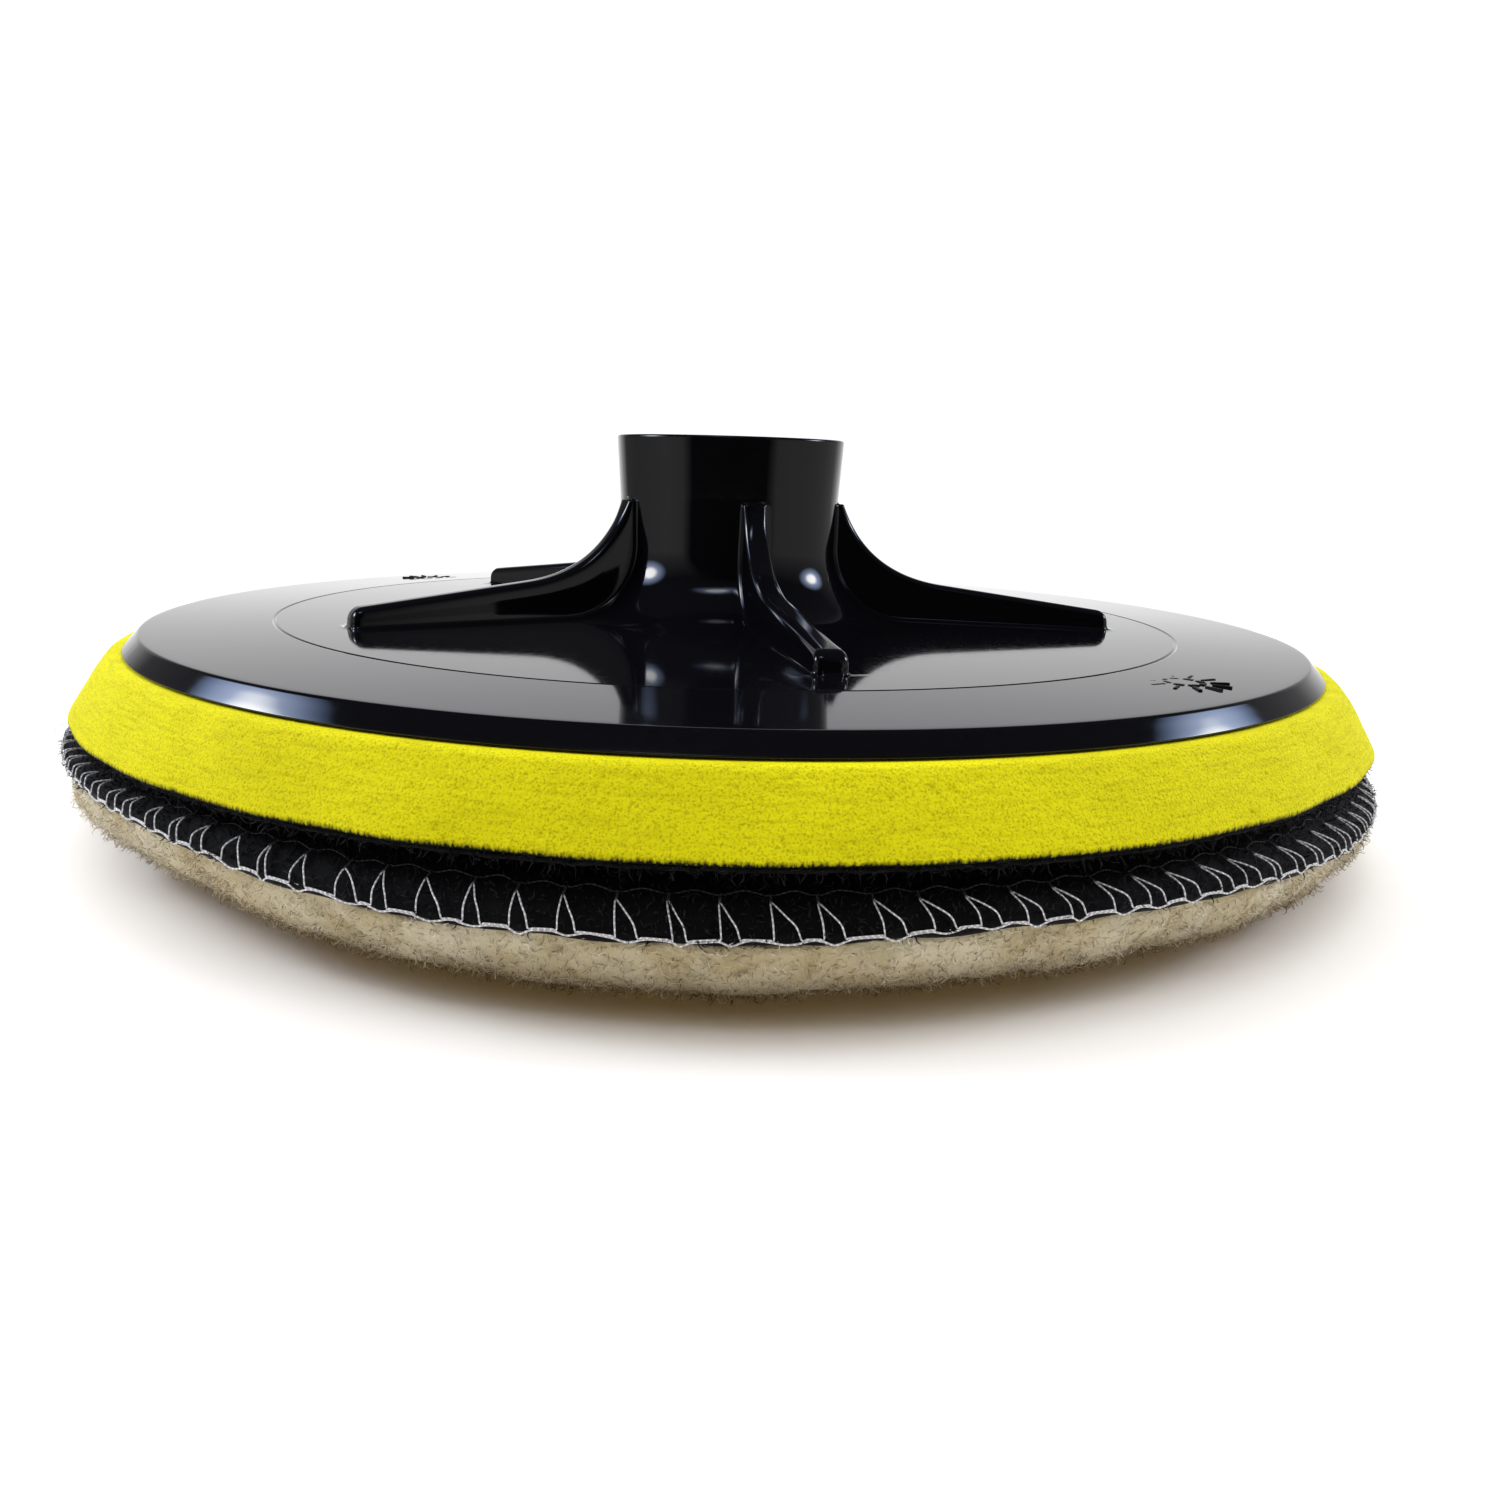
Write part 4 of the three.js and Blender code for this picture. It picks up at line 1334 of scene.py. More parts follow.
@dataclass
class HookTape:
    """The woven tape under the foam and its field of nylon hooks."""

    tape: float = 0.6
    spacing: float = 2.6
    hook_radius: float = 0.11
    hook_turn: float = 3.6
    fray_length: float = 1.6
    fray_thickness: float = 0.06
    fray_density: float = 5.0
    spread: float = 0.5
    columns: int = 480

    def hook(self, height: float) -> bpy.types.Object:
        """Makes one hook that hangs from the origin and curls back.

        Args:
            height: How far it reaches down.

        Returns:
            A four-sided bent rod.
        """
        bend = 0.26
        path = [(0.0, 0.0), (0.0, -(height - bend) * 0.5), (0.0, -(height - bend))]
        path += [(bend - bend * math.cos(a), -(height - bend) - bend * math.sin(a))
                 for a in np.linspace(0, self.hook_turn, 5)[1:]]
        points = []
        for number, (x, z) in enumerate(path):
            before, after = path[max(0, number - 1)], path[min(len(path) - 1, number + 1)]
            along = math.atan2(after[1] - before[1], after[0] - before[0])
            side = (-math.sin(along) * self.hook_radius, math.cos(along) * self.hook_radius)
            points += [(x + side[0], 0, z + side[1]), (x, self.hook_radius, z),
                       (x - side[0], 0, z - side[1]), (x, -self.hook_radius, z)]
        faces = grid_faces(len(path), 4, True) + [tuple(range(len(points) - 4, len(points)))]
        return make_object("one hook", np.array(points), faces)

    def build(self, rows_of_hooks: Rule, planted: Rule) -> bpy.types.Object:
        """Args:
            rows_of_hooks: The tree that sets hooks over a disc.
            planted: The tree that plants fibres.

        Returns:
            The tape.
        """
        low, high = levels("hook_tape")
        radius = top_radius("hook_tape") + self.spread
        angles = full_turn(self.columns)
        base = high - self.tape
        inner = [*np.linspace(8, radius - 1.2, 9), radius - 0.3]
        outline = [(r, base) for r in inner]
        outline += arc((radius - 0.3, (base + high) / 2), self.tape / 2, -90, 90, 4)
        outline += [(r, high) for r in reversed(inner)]
        grid = revolve(outline, angles)
        fray = 0.15 * waves(angles[None, :], np.zeros((1, 1)), 5, 12, 160, 0.1)
        edge = grid[:, :, :2] / np.maximum(np.linalg.norm(grid[:, :, :2], axis=2, keepdims=True), 1)
        rim = (np.linalg.norm(grid[:, :, :2], axis=2) > radius - 1)[:, :, None]
        grid[:, :, :2] += edge * rim * (fray[0, :, None] - 0.1)
        tape = shell("hook_tape_woven_base", grid)
        black = BlackTextile("black woven hook tape").material()
        dress(tape, black)
        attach(tape, PLATE_BODY)
        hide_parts("hook_tape")
        hook = self.hook(base - low + 0.05)
        field = rows_of_hooks.run("hook_field", None, black, Spacing=self.spacing * MM, Reach=(radius - 1.2) * MM,
                                  Level=(base + 0.05) * MM, Hook=hook, Seed=4)
        bpy.data.objects.remove(hook)
        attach(field, PLATE_BODY)
        points = places(tape)
        set_share(tape, (np.hypot(points[:, 0], points[:, 1]) > radius - 1.1) * 1.0)
        stem = fibre("frayed fibre", Curl.BENT, self.fray_thickness, 2)
        fray = planted.run("hook_tape_frayed_edge", tape, black, Density=self.fray_density / MM ** 2, Seed=15,
                           Fibre=stem, Shortest=self.fray_length * 0.35 * MM, Longest=self.fray_length * MM, Lean=1.1)
        bpy.data.objects.remove(stem)
        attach(fray, PLATE_BODY)
        return tape


# ---------------------------------------------------------------- wool pad

@dataclass
class PadShape:
    """The shape that the pad's cloths share: level in the middle, drawn down by the stitching."""

    loop_thickness: float = 1.5
    ground_thickness: float = 0.8
    droop_run: float = 7.2
    seam_inset: float = 3.2
    ground_drawn_in: float = 1.3
    directions: tuple[float, ...] = (-180, -140, -130, -123, -116, -108, -90, -84, -76, -67, -55, -46, -35, -18,
                                     20, 90, 150, 180)
    lifts: tuple[float, ...] = (2.7, 2.9, 2.6, 1.9, 0.9, 0.2, -0.1, 0.2, 0.8, 1.05, 0.95, 0.45, 0.0, -0.3,
                                0.0, 0.8, 2.0, 2.7)

    def __post_init__(self) -> None:
        """Takes the levels from the CAD solids."""
        loop_low, self.loop_top = levels("loop_backing")
        self.edge = top_radius("loop_backing")
        self.edge_droop = self.loop_top - self.loop_thickness - loop_low
        self.ground_top = levels("ground_cloth")[1]
        self.seam = self.edge - self.seam_inset

    def lift(self, angle: np.ndarray | float) -> np.ndarray | float:
        """Gives how much higher than usual the rim lies in a direction: the pad does not bear evenly on the floor."""
        degrees = (np.degrees(angle) + 180) % 360 - 180
        return np.interp(degrees, self.directions, self.lifts)

    def plain_droop(self, radius: float) -> float:
        """Gives how far a cloth hangs below its middle at a radius where the rim is not lifted."""
        return self.edge_droop * (max(0.0, radius - self.edge + self.droop_run) / self.droop_run) ** 2

    def droop(self, radius: np.ndarray | float, angle: np.ndarray | float) -> np.ndarray | float:
        """Gives how far a cloth hangs below its middle at a radius and an angle about the axis."""
        share = np.maximum(0.0, np.asarray(radius, dtype=float) - (self.edge - self.droop_run)) / self.droop_run
        return (self.edge_droop - self.lift(angle)) * share * share

    def cloth(self, name: str, top: float, thickness: float, edge: float, seed: int,
              columns: int) -> bpy.types.Object:
        """Makes a disc of cloth that hangs down at its edge.

        Args:
            name: The piece's name.
            top: Level of its upper face in the middle.
            thickness: Its thickness.
            edge: Its radius as it lies.
            seed: Seed of its unevenness.
            columns: Columns round the disc.

        Returns:
            The closed cloth.
        """
        inner = list(np.linspace(10, self.edge - self.droop_run, 8)) + list(
            np.linspace(self.edge - self.droop_run + 1, edge - 0.4, 9))
        under = [(r, top - thickness - self.plain_droop(r)) for r in inner]
        middle = top - thickness / 2 - self.plain_droop(edge)
        rim = arc((edge - 0.4, middle), 1.0, -90, 90, 6)
        rim = [(edge - 0.4 + 0.4 * (r - edge + 0.4), middle + (z - middle) * thickness / 2) for r, z in rim]
        over = [(r, top - self.plain_droop(r)) for r in reversed(inner)]
        angles = full_turn(columns)
        grid = revolve(under[:-1] + rim + over[1:], angles)
        distance = np.linalg.norm(grid[:, :, :2], axis=2)
        outward = np.clip((distance - (edge - 6)) / 6, 0, 1)
        share = np.maximum(0.0, distance - (self.edge - self.droop_run)) / self.droop_run
        grid[:, :, 2] += self.lift(angles)[None, :] * share * share
        ripple = waves(angles[None, :], distance, seed, 10, 60, 0.5)
        grid[:, :, 2] += 0.12 * outward * ripple
        return shell(name, grid)


@dataclass
class LoopCloth:
    """The black brushed cloth on top of the pad, and the fibres that stand out of it."""

    fibre_length: float = 1.3
    fibre_thickness: float = 0.075
    edge_density: float = 2.2
    middle_share: float = 0.06
    band: float = 9.0
    nap: float = 0.35

    def build(self, shape: PadShape, planted: Rule) -> bpy.types.Object:
        """Builds the cloth with its brushed fibres and attaches both to the pad's body.

        Args:
            shape: The pad's shape.
            planted: The tree that plants fibres.

        Returns:
            The cloth.
        """
        cloth = shape.cloth("velour_loop_cloth", shape.loop_top - self.nap, shape.loop_thickness - self.nap,
                            shape.edge, 31, 720)
        black = BlackTextile("black brushed loop cloth").material()
        points = places(cloth)
        radius = np.hypot(points[:, 0], points[:, 1])
        angle = np.arctan2(points[:, 1], points[:, 0])
        upper = points[:, 2] > shape.loop_top - shape.loop_thickness * 0.8 - shape.droop(radius, angle)
        rim = (radius > shape.edge - self.nap) & (
            points[:, 2] > shape.loop_top - shape.loop_thickness * 0.6 - shape.droop(radius, angle))
        set_share(cloth, np.where(radius > shape.edge - self.band, 1.0, self.middle_share) * (upper | rim))
        stem = fibre("velour fibre", Curl.BENT, self.fibre_thickness, 2)
        fuzz = planted.run("velour_fibres", cloth, black, Density=self.edge_density / MM ** 2, Seed=7, Fibre=stem,
                           Shortest=self.fibre_length * 0.4 * MM, Longest=self.fibre_length * MM, Lean=1.0)
        bpy.data.objects.remove(stem)
        dress(cloth, black)
        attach(cloth, PAD_BODY)
        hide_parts("loop_backing")
        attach(fuzz, PAD_BODY)
        LOG.info("velour fibres: %d faces", len(fuzz.data.polygons))
        return cloth


@dataclass
class WoolPile:
    """The tufted wool: a lumpy body, thick with fibres that mat over each other."""

    rim: float = 90.5
    lip_rise: float = 1.35
    round_run: float = 13.5
    run_per_lift: float = 2.4
    face_rise: float = 0.6
    lump: float = 0.8
    fibre_thickness: float = 0.052
    side_density: float = 4.3
    face_share: float = 0.15
    columns: int = 720
    floor_gap: float = 0.02

    def outline(self) -> Outline:
        """Lists the body's outline, from the middle of the face to the middle of its top."""
        low, high = levels("wool_pile")
        lip = levels("lower_looper_thread")[0] + self.lip_rise
        face = low + self.face_rise
        points = [(r, face) for r in np.linspace(6, self.rim - self.round_run, 22)]
        for angle in np.linspace(0, math.pi / 2, 22)[1:]:
            radius = self.rim - self.round_run * (1 - math.sin(angle))
            points.append((radius, face + (lip - face) * (1 - math.cos(angle))))
        points += [(self.rim - 0.1, lip + 0.25), (self.rim - 0.6, lip + 0.45), (self.rim - 1.6, lip + 0.4)]
        for radius in np.linspace(self.rim - 3, self.rim - 9, 4):
            points.append((radius, high - 1.9 + 1.7 * (self.rim - radius) / 9))
        points.append((20.0, high - 0.2))
        return points

    def body(self, shape: PadShape) -> bpy.types.Object:
        """Makes the lumpy body that the fibres grow on.

        Args:
            shape: The pad's shape, which lifts the rim in places.

        Returns:
            The closed body.
        """
        angles = full_turn(self.columns)
        grid = revolve(self.outline(), angles)
        lift = shape.lift(angles)[None, :]
        distance = np.linalg.norm(grid[:, :, :2], axis=2)
        inward = np.clip((distance - 40) / (self.rim - self.round_run - 40), 0, 1) * np.clip(
            (self.rim - distance) / self.round_run, 0, 1)
        pulled = distance - inward * lift * self.run_per_lift * (grid[:, :, 2] < 7)
        grid[:, :, :2] *= (pulled / distance)[:, :, None]
        raised = np.clip((distance - (self.rim - self.round_run)) / self.round_run, 0, 1) ** 2
        grid[:, :, 2] += lift * raised * np.clip(grid[:, :, 2] / 8, 0, 1)
        distance = np.linalg.norm(grid[:, :, :2], axis=2)
        level = grid[:, :, 2]
        lumps = waves(angles[None, :], distance, 11, 16, 34, 0.28) + 0.6 * waves(
            angles[None, :], level + distance * 0.4, 12, 16, 110, 0.9)
        below = level < levels("lower_looper_thread")[0] + self.lip_rise + lift
        push = self.lump * np.clip((distance - 60) / 20, 0.25, 1) * below * lumps * 0.5
        outward = grid[:, :, :2] / distance[:, :, None]
        slope = np.clip((distance - 72) / 16, 0, 1)
        grid[:, :, :2] += outward * (push * slope)[:, :, None]
        grid[:, :, 2] -= push * (1 - slope) * 0.6
        grid[:, :, 2] = np.maximum(grid[:, :, 2], 0.25)
        return shell("wool_pile_tufts", grid)

    def build(self, shape: PadShape, planted: Rule) -> bpy.types.Object:
        """Args:
            shape: The pad's shape.
            planted: The tree that plants fibres.

        Returns:
            The wool, body and fibres in one piece.
        """
        body = self.body(shape)
        points = places(body)
        radius = np.hypot(points[:, 0], points[:, 1])
        hidden = (points[:, 2] > 8) & (radius < self.rim - 2.2)
        set_share(body, np.where(radius > 70, 1.0, self.face_share) * np.where(hidden, 0.0, 1.0))
        cream = WoolFibre().material()
        # The body takes a low tip value, so it gets the fibres' painted root shade.
        body.data.attributes.new("tip", "FLOAT", "POINT").data.foreach_set(
            "value", np.full(len(points), 0.1, dtype=np.float32))
        tufts = []
        for seed, (curl, longest, lean) in enumerate(((Curl.BENT, 1.3, 1.4), (Curl.CURLED, 1.8, 1.3),
                                                      (Curl.STRAIGHT, 0.9, 1.5))):
            stem = fibre("wool fibre", curl, self.fibre_thickness, 3 if curl is Curl.CURLED else 2)
            tufts.append(planted.run("tufts", body, cream, Density=self.side_density / 3 / MM ** 2, Seed=40 + seed,
                                     Fibre=stem, Shortest=longest * 0.4 * MM, Longest=longest * MM, Lean=lean))
            bpy.data.objects.remove(stem)
        merge_into(body, tufts, 0.0)
        keep_above(body, self.floor_gap)
        dress(body, cream)
        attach(body, PAD_BODY)
        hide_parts("wool_pile")
        return body


def build_ground_cloth(shape: PadShape) -> bpy.types.Object:
    """Builds the knitted cloth that carries the wool, its cut edge drawn in by the stitching."""
    cloth = shape.cloth("knitted_ground_cloth", shape.ground_top, shape.ground_thickness,
                        shape.edge - shape.ground_drawn_in, 33, 360)
    dress(cloth, KnittedGround().material())
    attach(cloth, PAD_BODY)
    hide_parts("ground_cloth")
    return cloth


# ---------------------------------------------------------------- overlock stitching

@dataclass
class Overlock:
    """The three threads of the overlock that binds the pad's edge."""

    stitches: int = 128
    needle_radius: float = 0.06
    leg_radius: float = 0.08
    purl_radius: float = 0.085
    loose_radius: float = 0.05
    stem: float = 1.2
    purl_drop: float = 0.85
    outside: float = 0.22
    step: float = 0.3
    seed: int = 9

    def point(self, shape: PadShape, turn: float, radius: float, lift: float) -> tuple[float, float, float]:
        """Places a point on the pad's top or over its cut edge.

        Args:
            shape: The pad's shape.
            turn: Place along the seam, counted in stitches.
            radius: Distance from the axis.
            lift: Height above the cloth's upper face.

        Returns:
            x, y and z in millimetres.
        """
        angle = 2 * math.pi * turn / self.stitches
        level = shape.loop_top - float(shape.droop(min(radius, shape.edge), angle)) + lift
        return (radius * math.cos(angle), radius * math.sin(angle), level)

    def lay(self, thread: Rule, name: str, points: list, radius: float, material: bpy.types.Material,
            closed: bool = True) -> bpy.types.Object:
        """Lays one thread along its points.

        Args:
            thread: The tree that lays a thread along a path.
            name: The new object's name.
            points: The path's points in millimetres.
            radius: The thread's radius in millimetres.
            material: The thread's material.
            closed: True where the path's end joins its start.

        Returns:
            The thread as a mesh.
        """
        mesh = bpy.data.meshes.new("seam path")
        count = len(points)
        edges = [(i, (i + 1) % count) for i in range(count if closed else count - 1)]
        mesh.from_pydata((np.array(points) * MM).tolist(), edges, [])
        line = bpy.data.objects.new("seam path", mesh)
        piece = thread.run(name, line, material, Thread_radius=radius * MM, Step=self.step * MM)
        bpy.data.objects.remove(line)
        return piece

    def paths(self, shape: PadShape) -> dict[str, list]:
        """Works out where each thread runs, stitch by stitch.

        Args:
            shape: The pad's shape.

        Returns:
            The points of the needle thread and of the two looper threads.
        """
        rng = np.random.default_rng(self.seed)
        edge, out = shape.edge, shape.edge + self.outside
        runs: dict[str, list] = {"needle": [], "upper": [], "lower": []}
        for stitch in range(self.stitches):
            apex = stitch + rng.normal(0, 0.04)
            inner = shape.seam + rng.normal(0, 0.1)
            left = apex + rng.uniform(0.02, 0.2)
            right = apex + rng.uniform(0.4, 0.66)
            low = -self.purl_drop + rng.uniform(-0.1, 0.1)
            foot = inner + self.stem * rng.uniform(0.85, 1.1)
            sag = rng.uniform(0.15, 0.5)

            def at(turn: float, radius: float, lift: float) -> tuple[float, float, float]:
                return self.point(shape, turn, radius, lift)

            def leg(end: float, share: float, radius: float, lift: float) -> tuple[float, float, float]:
                return self.point(shape, apex + (end - apex) * share, radius, lift)

            runs["needle"] += [at(apex - 0.07, inner, -0.3), at(apex, inner + 0.1, -0.12), at(apex, foot, 0.02),
                               at(apex + 0.03, foot, 0.02), at(apex + 0.03, inner + 0.1, -0.12),
                               at(apex + 0.1, inner, -0.3), at(apex + 0.5, inner - 0.22, -0.05)]
            runs["upper"] += [at(left - 0.06, out, low + 0.12), leg(left, 1.0, out, low + 0.05),
                              leg(left, 0.75, edge - 0.1, 0.15), leg(left, 0.4, edge - 0.85, 0.2),
                              at(apex, foot, -0.02), at(apex + 0.04, foot - 0.05, -0.02),
                              leg(right, 0.5, edge - 0.85, 0.22), leg(right, 0.82, edge - 0.1, 0.16),
                              leg(right, 1.0, out, low), at(right + 0.08, out, low + 0.12)]
            runs["lower"] += [at(left - 0.08, out + 0.05, low - 0.02), at(left + 0.02, out + 0.05, low - 0.12),
                              at((left + right) / 2, out, low - sag - 0.08), at(right, out + 0.05, low - 0.16),
                              at(right + 0.1, out + 0.05, low - 0.02),
                              at(right + 0.28, out - 0.1, low - 0.05 * sag)]
        return runs

    def build(self, shape: PadShape, thread: Rule) -> list[bpy.types.Object]:
        """Args:
            shape: The pad's shape.
            thread: The tree that lays a thread along a path.

        Returns:
            The three threads.
        """
        runs = self.paths(shape)
        white = PolyesterThread("white looper thread").material()
        faint = PolyesterThread("needle thread drawn into the nap", "#4f4e54", "#2f2e33").material()
        needle = self.lay(thread, "needle_thread_line", runs["needle"], self.needle_radius, faint)
        legs = self.lay(thread, "upper_looper_legs", runs["upper"], self.leg_radius, white)
        wraps = self.lay(thread, "lower_looper_wraps", runs["lower"], self.purl_radius, white)
        merge_into(wraps, self.loose_ends(shape, thread, white), 0.0)
        rows = ((needle, "needle_thread", faint), (legs, "upper_looper_thread", white),
                (wraps, "lower_looper_thread", white))
        for piece, node, finish in rows:
            dress(piece, finish)
            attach(piece, PAD_BODY)
            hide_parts(node)
        return [row[0] for row in rows]

    def loose_ends(self, shape: PadShape, thread: Rule, material: bpy.types.Material) -> list[bpy.types.Object]:
        """Makes the few thin loops that have worked loose at the edge.

        Args:
            shape: The pad's shape.
            thread: The tree that lays a thread along a path.
            material: The thread's material.

        Returns:
            The loose loops.
        """
        rng = np.random.default_rng(self.seed + 1)
        loops = []
        for degrees, reach in ((-168, 1.7), (-164, 1.2), (-158, 1.5), (-12, 0.8), (96, 1.2)):
            turn = degrees / 360 * self.stitches
            bend = rng.uniform(0.2, 0.5)
            points = [self.point(shape, turn - 0.2, shape.edge + 0.1, -0.4),
                      self.point(shape, turn - 0.35, shape.edge + reach * 0.7, -0.2 + bend),
                      self.point(shape, turn + 0.05, shape.edge + reach, -0.9 + bend),
                      self.point(shape, turn + 0.4, shape.edge + reach * 0.6, -1.5),
                      self.point(shape, turn + 0.5, shape.edge + 0.1, -0.9)]
            loops.append(self.lay(thread, "loose loop", points, self.loose_radius, material, closed=False))
        return loops


# ---------------------------------------------------------------- studio

class Lamp(Enum):
    """Where the lamps stand, in millimetres."""

    LEFT = (-330.0, -15.0, 190.0)
    RIGHT = (640.0, 90.0, 335.0)
    ROOF = (-108.0, -440.0, 790.0)


@dataclass
class Studio:
    """The pale floor, the lights and the camera."""

    floor_radius: float = 280.0
    aim_height: float = 30.0
    camera_distance: float = 186.99
    camera_height: float = 48.64
    yaw: float = 0.21
    pitch: float = 13.17
    roll: float = 1.66
    lens: float = 29.11
    shift: float = 0.0156
    front: str = "#382d1e"
    fill: float = 1.75

    def world(self) -> None:
        """Lights the set: bright above and behind, dim and warm in front, and white where it is seen."""
        world = bpy.data.worlds.new("white cove")
        bpy.context.scene.world = world
        world.use_nodes = True
        tree = world.node_tree
        tree.nodes.clear()
        way = add(tree, "ShaderNodeTexCoord").outputs["Generated"]
        parts = add(tree, "ShaderNodeSeparateXYZ", {0: way})
        depth = add(tree, "ShaderNodeMapRange", {"Value": parts.outputs["Y"], "From Min": -1.0})
        left = add(tree, "ShaderNodeValToRGB", {"Fac": depth.outputs[0]},
                   stops=[(0.11, "#1f1f1f"), (0.17, "#9a9a9a"), (0.3, "#a1a1a1"), (0.7, "#6c6c6c"), (0.83, "#606060"),
                          (0.93, "#e6e6e6"), (1.0, "#ffffff")])
        right = add(tree, "ShaderNodeValToRGB", {"Fac": depth.outputs[0]},
                    stops=[(0.11, "#1f1f1f"), (0.17, "#959595"), (0.3, "#989898"), (0.7, "#858585"),
                           (0.83, "#868686"), (0.93, "#d8d8d8"), (1.0, "#ffffff")])
        side = add(tree, "ShaderNodeMapRange", {"Value": parts.outputs["X"], "From Min": -0.2, "From Max": 0.2})
        around = add(tree, "ShaderNodeMix", {0: side.outputs[0], 6: left.outputs[0], 7: right.outputs[0]},
                     data_type="RGBA")
        height = add(tree, "ShaderNodeValToRGB", {"Fac": parts.outputs["Z"]},
                     stops=[(0.06, "#ffffff"), (0.12, "#ebebeb"), (0.22, "#d2d2d4"), (0.6, "#55565c")])
        panorama = add(tree, "ShaderNodeMix", {0: 1.0, 6: around.outputs[2], 7: height.outputs[0]},
                       data_type="RGBA", blend_type="MULTIPLY")
        mirrored = add(tree, "ShaderNodeBackground", {"Color": panorama.outputs[2], "Strength": 1.4})
        slant = add(tree, "ShaderNodeVectorMath", {0: way, 1: (0, 0.55, 1.0)}, operation="DOT_PRODUCT")
        beside = add(tree, "ShaderNodeMath", {0: parts.outputs["X"]}, operation="ABSOLUTE")
        open_way = add(tree, "ShaderNodeMath", {0: beside.outputs[0], 1: 0.33, 2: slant.outputs["Value"]},
                       operation="MULTIPLY_ADD")
        opened = add(tree, "ShaderNodeMapRange", {"Value": open_way.outputs[0], "From Min": 0.15,
                                                  "From Max": 1.15}, interpolation_type="SMOOTHSTEP")
        tint = add(tree, "ShaderNodeValToRGB", {"Fac": opened.outputs[0]},
                   stops=[(0.0, self.front), (1.0, "#ffffff")])
        soft = add(tree, "ShaderNodeBackground", {"Color": tint.outputs[0], "Strength": self.fill})
        plain = add(tree, "ShaderNodeBackground", {"Color": (1, 1, 1, 1), "Strength": 1.05})
        path = add(tree, "ShaderNodeLightPath")
        lit = add(tree, "ShaderNodeMixShader", {0: path.outputs["Is Camera Ray"], 1: soft.outputs[0],
                                                2: plain.outputs[0]})
        both = add(tree, "ShaderNodeMixShader", {0: path.outputs["Is Glossy Ray"], 1: lit.outputs[0],
                                                 2: mirrored.outputs[0]})
        add(tree, "ShaderNodeOutputWorld", {"Surface": both.outputs[0]})

    def lamp(self, name: str, place: Lamp, size: tuple[float, float], power: float) -> None:
        """Adds a soft box that faces the hub: bright in the middle, with a dim bluish edge.

        Args:
            name: The lamp's name.
            place: Where it stands.
            size: Width and height in millimetres.
            power: Power in watts, if it were as bright all over as in the middle.
        """
        data = bpy.data.lights.new(name, "AREA")
        data.shape = "RECTANGLE"
        data.size, data.size_y = size[0] * MM, size[1] * MM
        data.energy = power
        data.use_nodes = True
        tree = data.node_tree
        tree.nodes.clear()
        spot = add(tree, "ShaderNodeNewGeometry").outputs["Parametric"]
        away = add(tree, "ShaderNodeVectorMath", {0: spot, 1: (0.5, 0.5, 0.0)}, operation="DISTANCE")
        fading = add(tree, "ShaderNodeValToRGB", {"Fac": away.outputs["Value"]},
                     stops=[(0.14, "#ffffff"), (0.25, "#7f8ba4"), (0.4, "#4a566e"), (0.5, "#000000")])
        glow = add(tree, "ShaderNodeEmission", {"Color": fading.outputs[0], "Strength": 1.0})
        add(tree, "ShaderNodeOutputLight", {"Surface": glow.outputs[0]})
        lamp = bpy.data.objects.new(name, data)
        lamp.location = Vector(place.value) * MM
        away_from_hub = Vector(place.value) - Vector((0, 0, self.aim_height))
        lamp.rotation_euler = away_from_hub.to_track_quat("Z", "Y").to_euler()
        bpy.context.scene.collection.objects.link(lamp)

    def build(self) -> None:
        """Builds the floor, lights and camera."""
        self.world()
        disc = revolve([(60, 0), (self.floor_radius, 0)], full_turn(160))
        points = np.vstack([disc.reshape(-1, 3), [[0, 0, 0]]])
        faces = grid_faces(2, 160, True) + [(i, (i + 1) % 160, 320) for i in range(160)]
        floor = make_object("floor", points, faces)
        dress(floor, WhiteCard().material())
        self.lamp("left soft box", Lamp.LEFT, (250, 175), 2.3)
        self.lamp("right soft box", Lamp.RIGHT, (400, 280), 5.5)
        self.lamp("roof window", Lamp.ROOF, (620, 190), 1.8)
        self.place_camera()
        bpy.context.scene.view_settings.view_transform = "Standard"

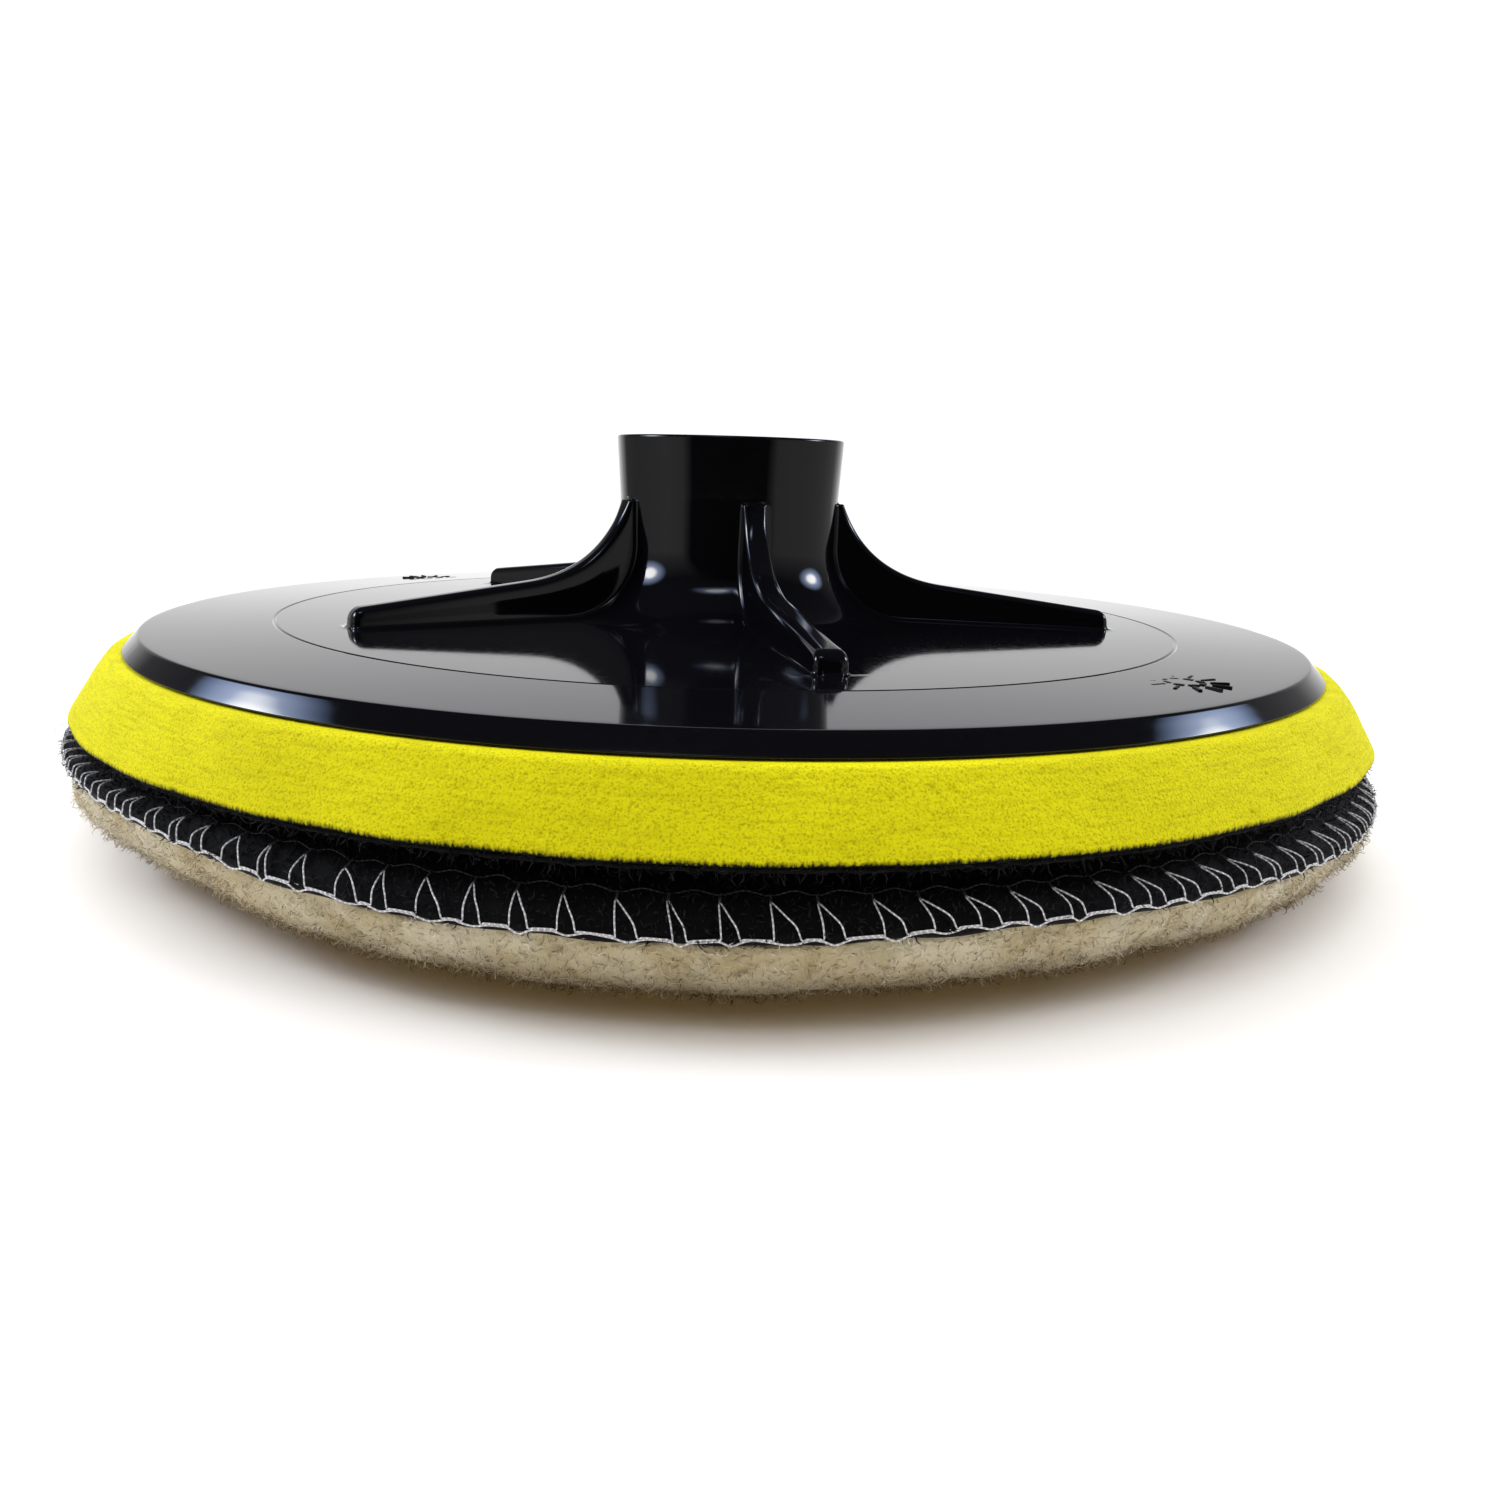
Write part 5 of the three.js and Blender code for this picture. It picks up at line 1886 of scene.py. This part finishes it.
    def place_camera(self) -> None:
        """Stands the camera in front, a little above the plate and slightly rolled."""
        yaw, pitch, roll = (math.radians(angle) for angle in (self.yaw, self.pitch, self.roll))
        ahead = Vector((math.sin(yaw) * math.cos(pitch), math.cos(yaw) * math.cos(pitch), -math.sin(pitch)))
        right = Vector((math.cos(yaw), -math.sin(yaw), 0))
        up = right.cross(ahead)
        level_right = right * math.cos(roll) + up * math.sin(roll)
        level_up = up * math.cos(roll) - right * math.sin(roll)
        turned = Matrix((level_right, level_up, -ahead)).transposed().to_4x4()
        data = bpy.data.cameras.new("camera")
        data.lens = self.lens
        data.sensor_width = 36.0
        data.shift_x = self.shift
        data.clip_start = 0.01
        camera = bpy.data.objects.new("camera", data)
        camera.matrix_world = Matrix.Translation(
            Vector((0, -self.camera_distance, self.camera_height)) * MM) @ turned
        bpy.context.scene.collection.objects.link(camera)
        bpy.context.scene.camera = camera


# ---------------------------------------------------------------- the whole head

def dress_films() -> None:
    """Gives the three adhesive films, which keep their CAD shape, their milky material."""
    for node in ("plate_adhesive", "hook_adhesive", "pad_adhesive"):
        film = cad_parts[node]
        material = HotMelt(f"hot-melt film {node}").material()
        for slot in film.material_slots:
            slot.material = material


def main() -> None:
    """Builds the head piece by piece and reports each one."""
    logging.basicConfig(level=logging.INFO, format="%(message)s")
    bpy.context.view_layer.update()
    copies, planted, thread, hooks = ring_rule(), fibre_rule(), thread_rule(), hook_rule()
    Studio().build()
    LOG.info("studio done")
    plate = BackingPlate()
    LOG.info("plate: %d faces", len(plate.build(copies).data.polygons))
    MouldMark().build(copies, plate)
    LOG.info("insert: %d faces", len(ThreadedInsert().build().data.polygons))
    LOG.info("foam: %d faces", len(FoamCushion().build().data.polygons))
    LOG.info("hook tape: %d faces", len(HookTape().build(hooks, planted).data.polygons))
    shape = PadShape()
    LOG.info("loop cloth: %d faces", len(LoopCloth().build(shape, planted).data.polygons))
    LOG.info("ground cloth: %d faces", len(build_ground_cloth(shape).data.polygons))
    LOG.info("wool: %d faces", len(WoolPile().build(shape, planted).data.polygons))
    for piece in Overlock().build(shape, thread):
        LOG.info("%s: %d faces", piece.name, len(piece.data.polygons))
    dress_films()


if __name__ == "__main__":
    main()
